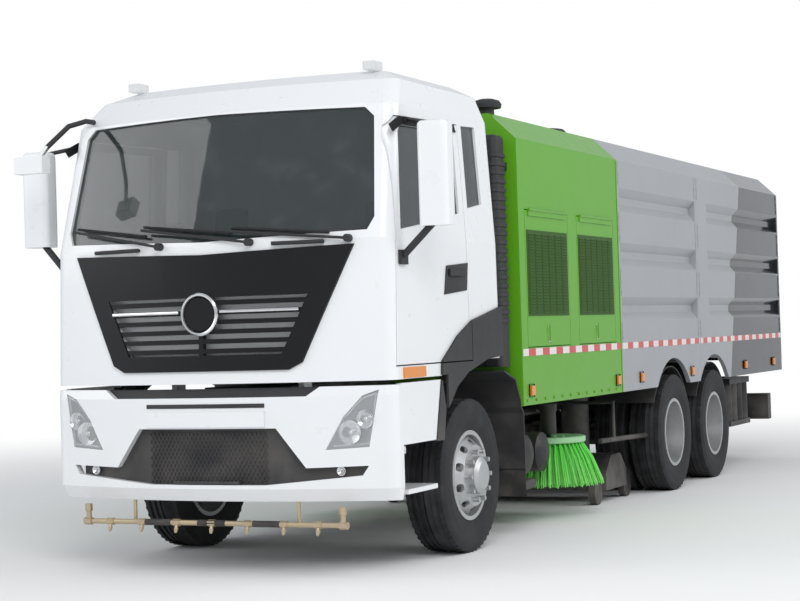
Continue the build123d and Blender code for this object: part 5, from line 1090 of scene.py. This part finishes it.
class SWEEPER_OT_interior(bpy.types.Operator):
    """Seats, berth and dashboard seen through the glass"""

    bl_idname = "sweeper.interior"
    bl_label = "Interior"

    def execute(self, context):
        dash = bmesh.new()
        outline = ((-1.258, 1.702), (-0.965, 1.702), (-0.912, 1.960), (-1.000, 2.070), (-1.258, 2.050))
        flat_plate(dash, [(-1.065, back(d), z) for d, z in outline], (2.13, 0, 0))
        cuboid(dash, (-0.490, back(-1.250), 1.325), (0.490, back(-1.010), 1.702))
        cuboid(dash, (0.36, back(-1.02), 2.030), (0.84, back(-0.93), 2.075))
        for x in (-0.42, -0.14, 0.14):
            cuboid(dash, (x - 0.09, back(-0.955), 1.80), (x + 0.09, back(-0.930), 1.87))
        eased(dash, 0.008)
        stand(dash, "dashboard", "cab", "plastic", replaced=("cab_interior",))
        for name, side in SIDES:
            x = side * SEAT_X
            base = bmesh.new()
            cuboid(base, (x - 0.18, back(-0.55), 1.322), (x + 0.18, back(-0.21), 1.560))
            eased(base, 0.010)
            stand(base, f"seat_base_{name}", "cab", "plastic")
            self.pad(f"seat_cushion_{name}", (x - 0.245, back(-0.635), 1.560), (x + 0.245, back(-0.150), 1.690))
            self.pad(f"seat_back_{name}", (x - 0.235, back(-0.250), 1.700), (x + 0.235, back(-0.130), 2.250), 0.16)
            self.pad(f"head_rest_{name}", (x - 0.130, back(-0.165), 2.260), (x + 0.130, back(-0.070), 2.420), 0.16)
        self.pad("berth_mattress", (-1.120, back(-0.015), 1.330), (1.120, back(0.335), 1.635))
        return {"FINISHED"}

    def pad(self, name, low, high, lean=0.0):
        """A crowned cushion with sewn channels between two corners, leaning back."""
        mesh = bmesh.new()
        cuboid(mesh, low, high)
        bmesh.ops.bevel(mesh, geom=list(mesh.edges), offset=0.032, offset_type="OFFSET", affect="EDGES", segments=3,
                        profile=0.5, material=-1)
        bmesh.ops.subdivide_edges(mesh, edges=list(mesh.edges), cuts=3, use_grid_fill=True)
        middle = [(a + b) / 2 for a, b in zip(low, high)]
        half = [(b - a) / 2 for a, b in zip(low, high)]
        for vert in mesh.verts:
            near = [1.0 - min(1.0, abs(vert.co[k] - middle[k]) / half[k]) ** 2 for k in range(3)]
            crown = 0.016 * near[0] * max(near[1], near[2])
            channel = 0.006 * abs(sin((vert.co.x - low[0]) * 2 * pi / 0.16))
            out = Vector([vert.co[k] - middle[k] for k in range(3)])
            if out.length > 0:
                vert.co += out.normalized() * (crown - 0.006 + channel * near[0])
            vert.co.y += lean * (vert.co.z - low[2])
        piece = stand(mesh, name, "cab", "fabric", smooth=60.0)


# Outwards, behind the front axle, height: from the brush arm's pivot along it to the motor
HOSE = (
    (0.452, 2.960, 0.940), (0.56, 3.000, 0.925), (0.64, 2.84, 0.935), (0.76, 2.56, 0.940), (0.86, 2.36, 0.930),
    (0.905, 2.245, 0.902),
)
HOSE_RADIUS = 0.011


class SWEEPER_OT_fittings(bpy.types.Operator):
    """Rear lamps, mud flaps, brush hoses and rear door latches"""

    bl_idname = "sweeper.fittings"
    bl_label = "Fittings"

    def execute(self, context):
        for hand, side in SIDES:
            lamps = bmesh.new()
            for x in (0.98, 0.84):
                side_box(lamps, side, (x - 0.06, x + 0.06), (8.5705, 8.592), (0.51, 0.61))
            eased(lamps, 0.006)
            stand(lamps, f"rear_lamp_{hand}", "chassis", "red")
            flap = bmesh.new()
            side_box(flap, side, (0.72, 1.235), (0.8175, 0.8215), (0.300, 0.640))
            eased(flap, 0.001, 1)
            stand(flap, f"mud_flap_{hand}", "chassis", "rubber")
        self.hoses()
        self.rear_door()
        return {"FINISHED"}

    def hoses(self):
        """Dark hoses from the arms' pivots to the brush motors."""
        for hand, side in SIDES:
            hose = bpy.data.curves.new(f"brush_hose_{hand}", "CURVE")
            hose.dimensions = "3D"
            hose.bevel_depth = HOSE_RADIUS
            hose.bevel_resolution = 3
            hose.use_fill_caps = True
            spline = hose.splines.new("NURBS")
            spline.points.add(len(HOSE) - 1)
            for place, (x, d, z) in zip(spline.points, HOSE):
                place.co = (side * x, back(d), z, 1.0)
            spline.order_u = 3
            spline.use_endpoint_u = True
            spline.resolution_u = 8
            piece = bpy.data.objects.new(f"brush_hose_{hand}", hose)
            bpy.context.scene.collection.objects.link(piece)
            hose.materials.append(FINISHES["rubber"])
            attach(piece, f"arm_{hand}")

    def rear_door(self):
        """Latch hooks and the grab rail of the hopper's rear door."""
        mesh = bmesh.new()
        for side in (-1, 1):
            side_box(mesh, side, (1.10, 1.16), (8.7765, 8.798), (1.23, 1.40))
            rod(mesh, (side * 1.13, back(8.790), 1.26), (side * 1.13, back(8.790), 1.37), 0.009, sides=12)
        cuboid(mesh, (-0.20, back(8.7765), 1.30), (0.20, back(8.7905), 1.325))
        eased(mesh, 0.002, 1)
        stand(mesh, "tailgate_latches", "tailgate", "steel")


# Colour and strength of the sky as a light and as it is seen
SKY_LIGHT = ((0.93, 0.96, 1.0, 1.0), 0.62)
SKY_SEEN = ((1.0, 1.0, 1.0, 1.0), 1.0)
# Name, place, size, watts, what it points at
LAMPS = (
    ("key", (9.0, -17.0, 12.0), 9.0, 1500.0, (0.0, -1.0, 1.2)),
    ("fill", (-14.0, -14.0, 8.0), 10.0, 600.0, (0.0, -2.0, 1.2)),
    ("side", (16.0, 3.0, 9.0), 10.0, 900.0, (0.0, 1.0, 1.5)),
)
# The photograph's camera: place, turns in degrees, focal length over the picture's width
CAMERA_PLACE = (6.023, -15.059, 1.531)
CAMERA_TURNS = (24.923, -0.883, -1.773)
CAMERA_REACH = 1837.5 / 800.0
SENSOR = 36.0


class SWEEPER_OT_stage(bpy.types.Operator):
    """Floor, sky light, lamps and the camera at the photograph's place"""

    bl_idname = "sweeper.stage"
    bl_label = "Stage"

    def execute(self, context):
        self.floor()
        self.sky()
        self.lamps()
        self.camera()
        view = bpy.context.scene.view_settings
        view.view_transform = "Standard"
        return {"FINISHED"}

    def floor(self):
        """A pale floor that fades into the white behind it."""
        mesh = bmesh.new()
        bmesh.ops.create_grid(mesh, x_segments=1, y_segments=1, size=150.0)
        data = bpy.data.meshes.new("floor")
        mesh.to_mesh(data)
        mesh.free()
        floor = bpy.data.objects.new("floor", data)
        bpy.context.scene.collection.objects.link(floor)
        finish = Finish("floor_pale", Roughness=1.0, Specular_IOR_Level=0.0, Emission_Color=(1.0, 1.0, 1.0, 1.0))
        reach = finish.node("ShaderNodeVectorMath", {"operation": "LENGTH"}, (finish.place(),), "Value")
        far = finish.ramp(reach, 5.0, 15.0)
        seen = finish.node("ShaderNodeLightPath", {}, {}, "Is Camera Ray")
        near = finish.mix(finish.noise(0.3), (0.86, 0.86, 0.86), (0.88, 0.88, 0.88))
        finish.feed("Base Color", finish.mix(far * seen, near, (0.0, 0.0, 0.0)))
        finish.feed("Emission Strength", far * seen)
        data.materials.append(finish.material)

    def sky(self):
        """An even white world: plain light on the truck, pure white behind it."""
        world = bpy.data.worlds.new("studio")
        bpy.context.scene.world = world
        world.use_nodes = True
        tree = world.node_tree
        tree.nodes.clear()
        kinds = ("OutputWorld", "MixShader", "Math", "LightPath")
        out, pick, either, rays = (tree.nodes.new(f"ShaderNode{kind}") for kind in kinds)
        for place, (colour, strength) in enumerate((SKY_LIGHT, SKY_SEEN), 1):
            background = tree.nodes.new("ShaderNodeBackground")
            background.inputs["Color"].default_value = colour
            background.inputs["Strength"].default_value = strength
            tree.links.new(background.outputs[0], pick.inputs[place])
        either.operation = "MAXIMUM"
        for place, ray in enumerate(("Is Camera Ray", "Is Transmission Ray")):
            tree.links.new(rays.outputs[ray], either.inputs[place])
        tree.links.new(either.outputs[0], pick.inputs[0])
        tree.links.new(pick.outputs[0], out.inputs[0])

    def lamps(self):
        """Area lamps round the truck."""
        for name, place, size, power, target in LAMPS:
            data = bpy.data.lights.new(name, "AREA")
            data.size = size
            data.energy = power
            lamp = bpy.data.objects.new(name, data)
            lamp.location = place
            lamp.rotation_euler = (Vector(target) - Vector(place)).to_track_quat("-Z", "Y").to_euler()
            bpy.context.scene.collection.objects.link(lamp)

    def camera(self):
        """Camera at the viewpoint worked out from the truck's own lines."""
        yaw, pitch, roll = map(radians, CAMERA_TURNS)
        forward = Vector((-sin(yaw) * cos(pitch), cos(yaw) * cos(pitch), -sin(pitch)))
        right = forward.cross(Vector((0, 0, 1))).normalized()
        up = right.cross(forward)
        level_right = right * cos(roll) + up * sin(roll)
        level_up = up * cos(roll) - right * sin(roll)
        turn = Matrix((level_right, level_up, -forward)).transposed().to_4x4()
        data = bpy.data.cameras.new("camera")
        data.lens = SENSOR * CAMERA_REACH
        data.sensor_width = SENSOR
        data.clip_end = 500.0
        camera = bpy.data.objects.new("camera", data)
        camera.matrix_world = Matrix.Translation(CAMERA_PLACE) @ turn
        bpy.context.scene.collection.objects.link(camera)
        bpy.context.scene.camera = camera


class SWEEPER_PT_panel(bpy.types.Panel):
    """Shows the truck's colours, sizes and steps in the sidebar"""

    bl_idname = "SWEEPER_PT_panel"
    bl_label = "Street sweeper truck"
    bl_space_type = "VIEW_3D"
    bl_region_type = "UI"
    bl_category = "Sweeper"

    def draw(self, context):
        column = self.layout.column()
        for group in (context.scene.truck_colours, context.scene.truck_sizes):
            for name in group.__annotations__:
                column.prop(group, name)
        for step in STEPS:
            column.operator(step.bl_idname)


STEPS = (
    SWEEPER_OT_finishes, SWEEPER_OT_stage, SWEEPER_OT_tyres, SWEEPER_OT_cab_trim, SWEEPER_OT_front_panel,
    SWEEPER_OT_bumper, SWEEPER_OT_spray_bar, SWEEPER_OT_module, SWEEPER_OT_body_trim, SWEEPER_OT_brushes,
    SWEEPER_OT_mirrors, SWEEPER_OT_interior, SWEEPER_OT_fittings,
)
CLASSES = (TruckColours, TruckSizes, *STEPS, SWEEPER_PT_panel)


def register():
    for kind in CLASSES:
        bpy.utils.register_class(kind)
    bpy.types.Scene.truck_colours = bpy.props.PointerProperty(type=TruckColours)
    bpy.types.Scene.truck_sizes = bpy.props.PointerProperty(type=TruckSizes)


def unregister():
    del bpy.types.Scene.truck_sizes
    del bpy.types.Scene.truck_colours
    for kind in reversed(CLASSES):
        bpy.utils.unregister_class(kind)


def main():
    register()
    for step in STEPS:
        group, name = step.bl_idname.split(".")
        getattr(getattr(bpy.ops, group), name)()
    bpy.context.view_layer.update()


if __name__ == "__main__":
    main()
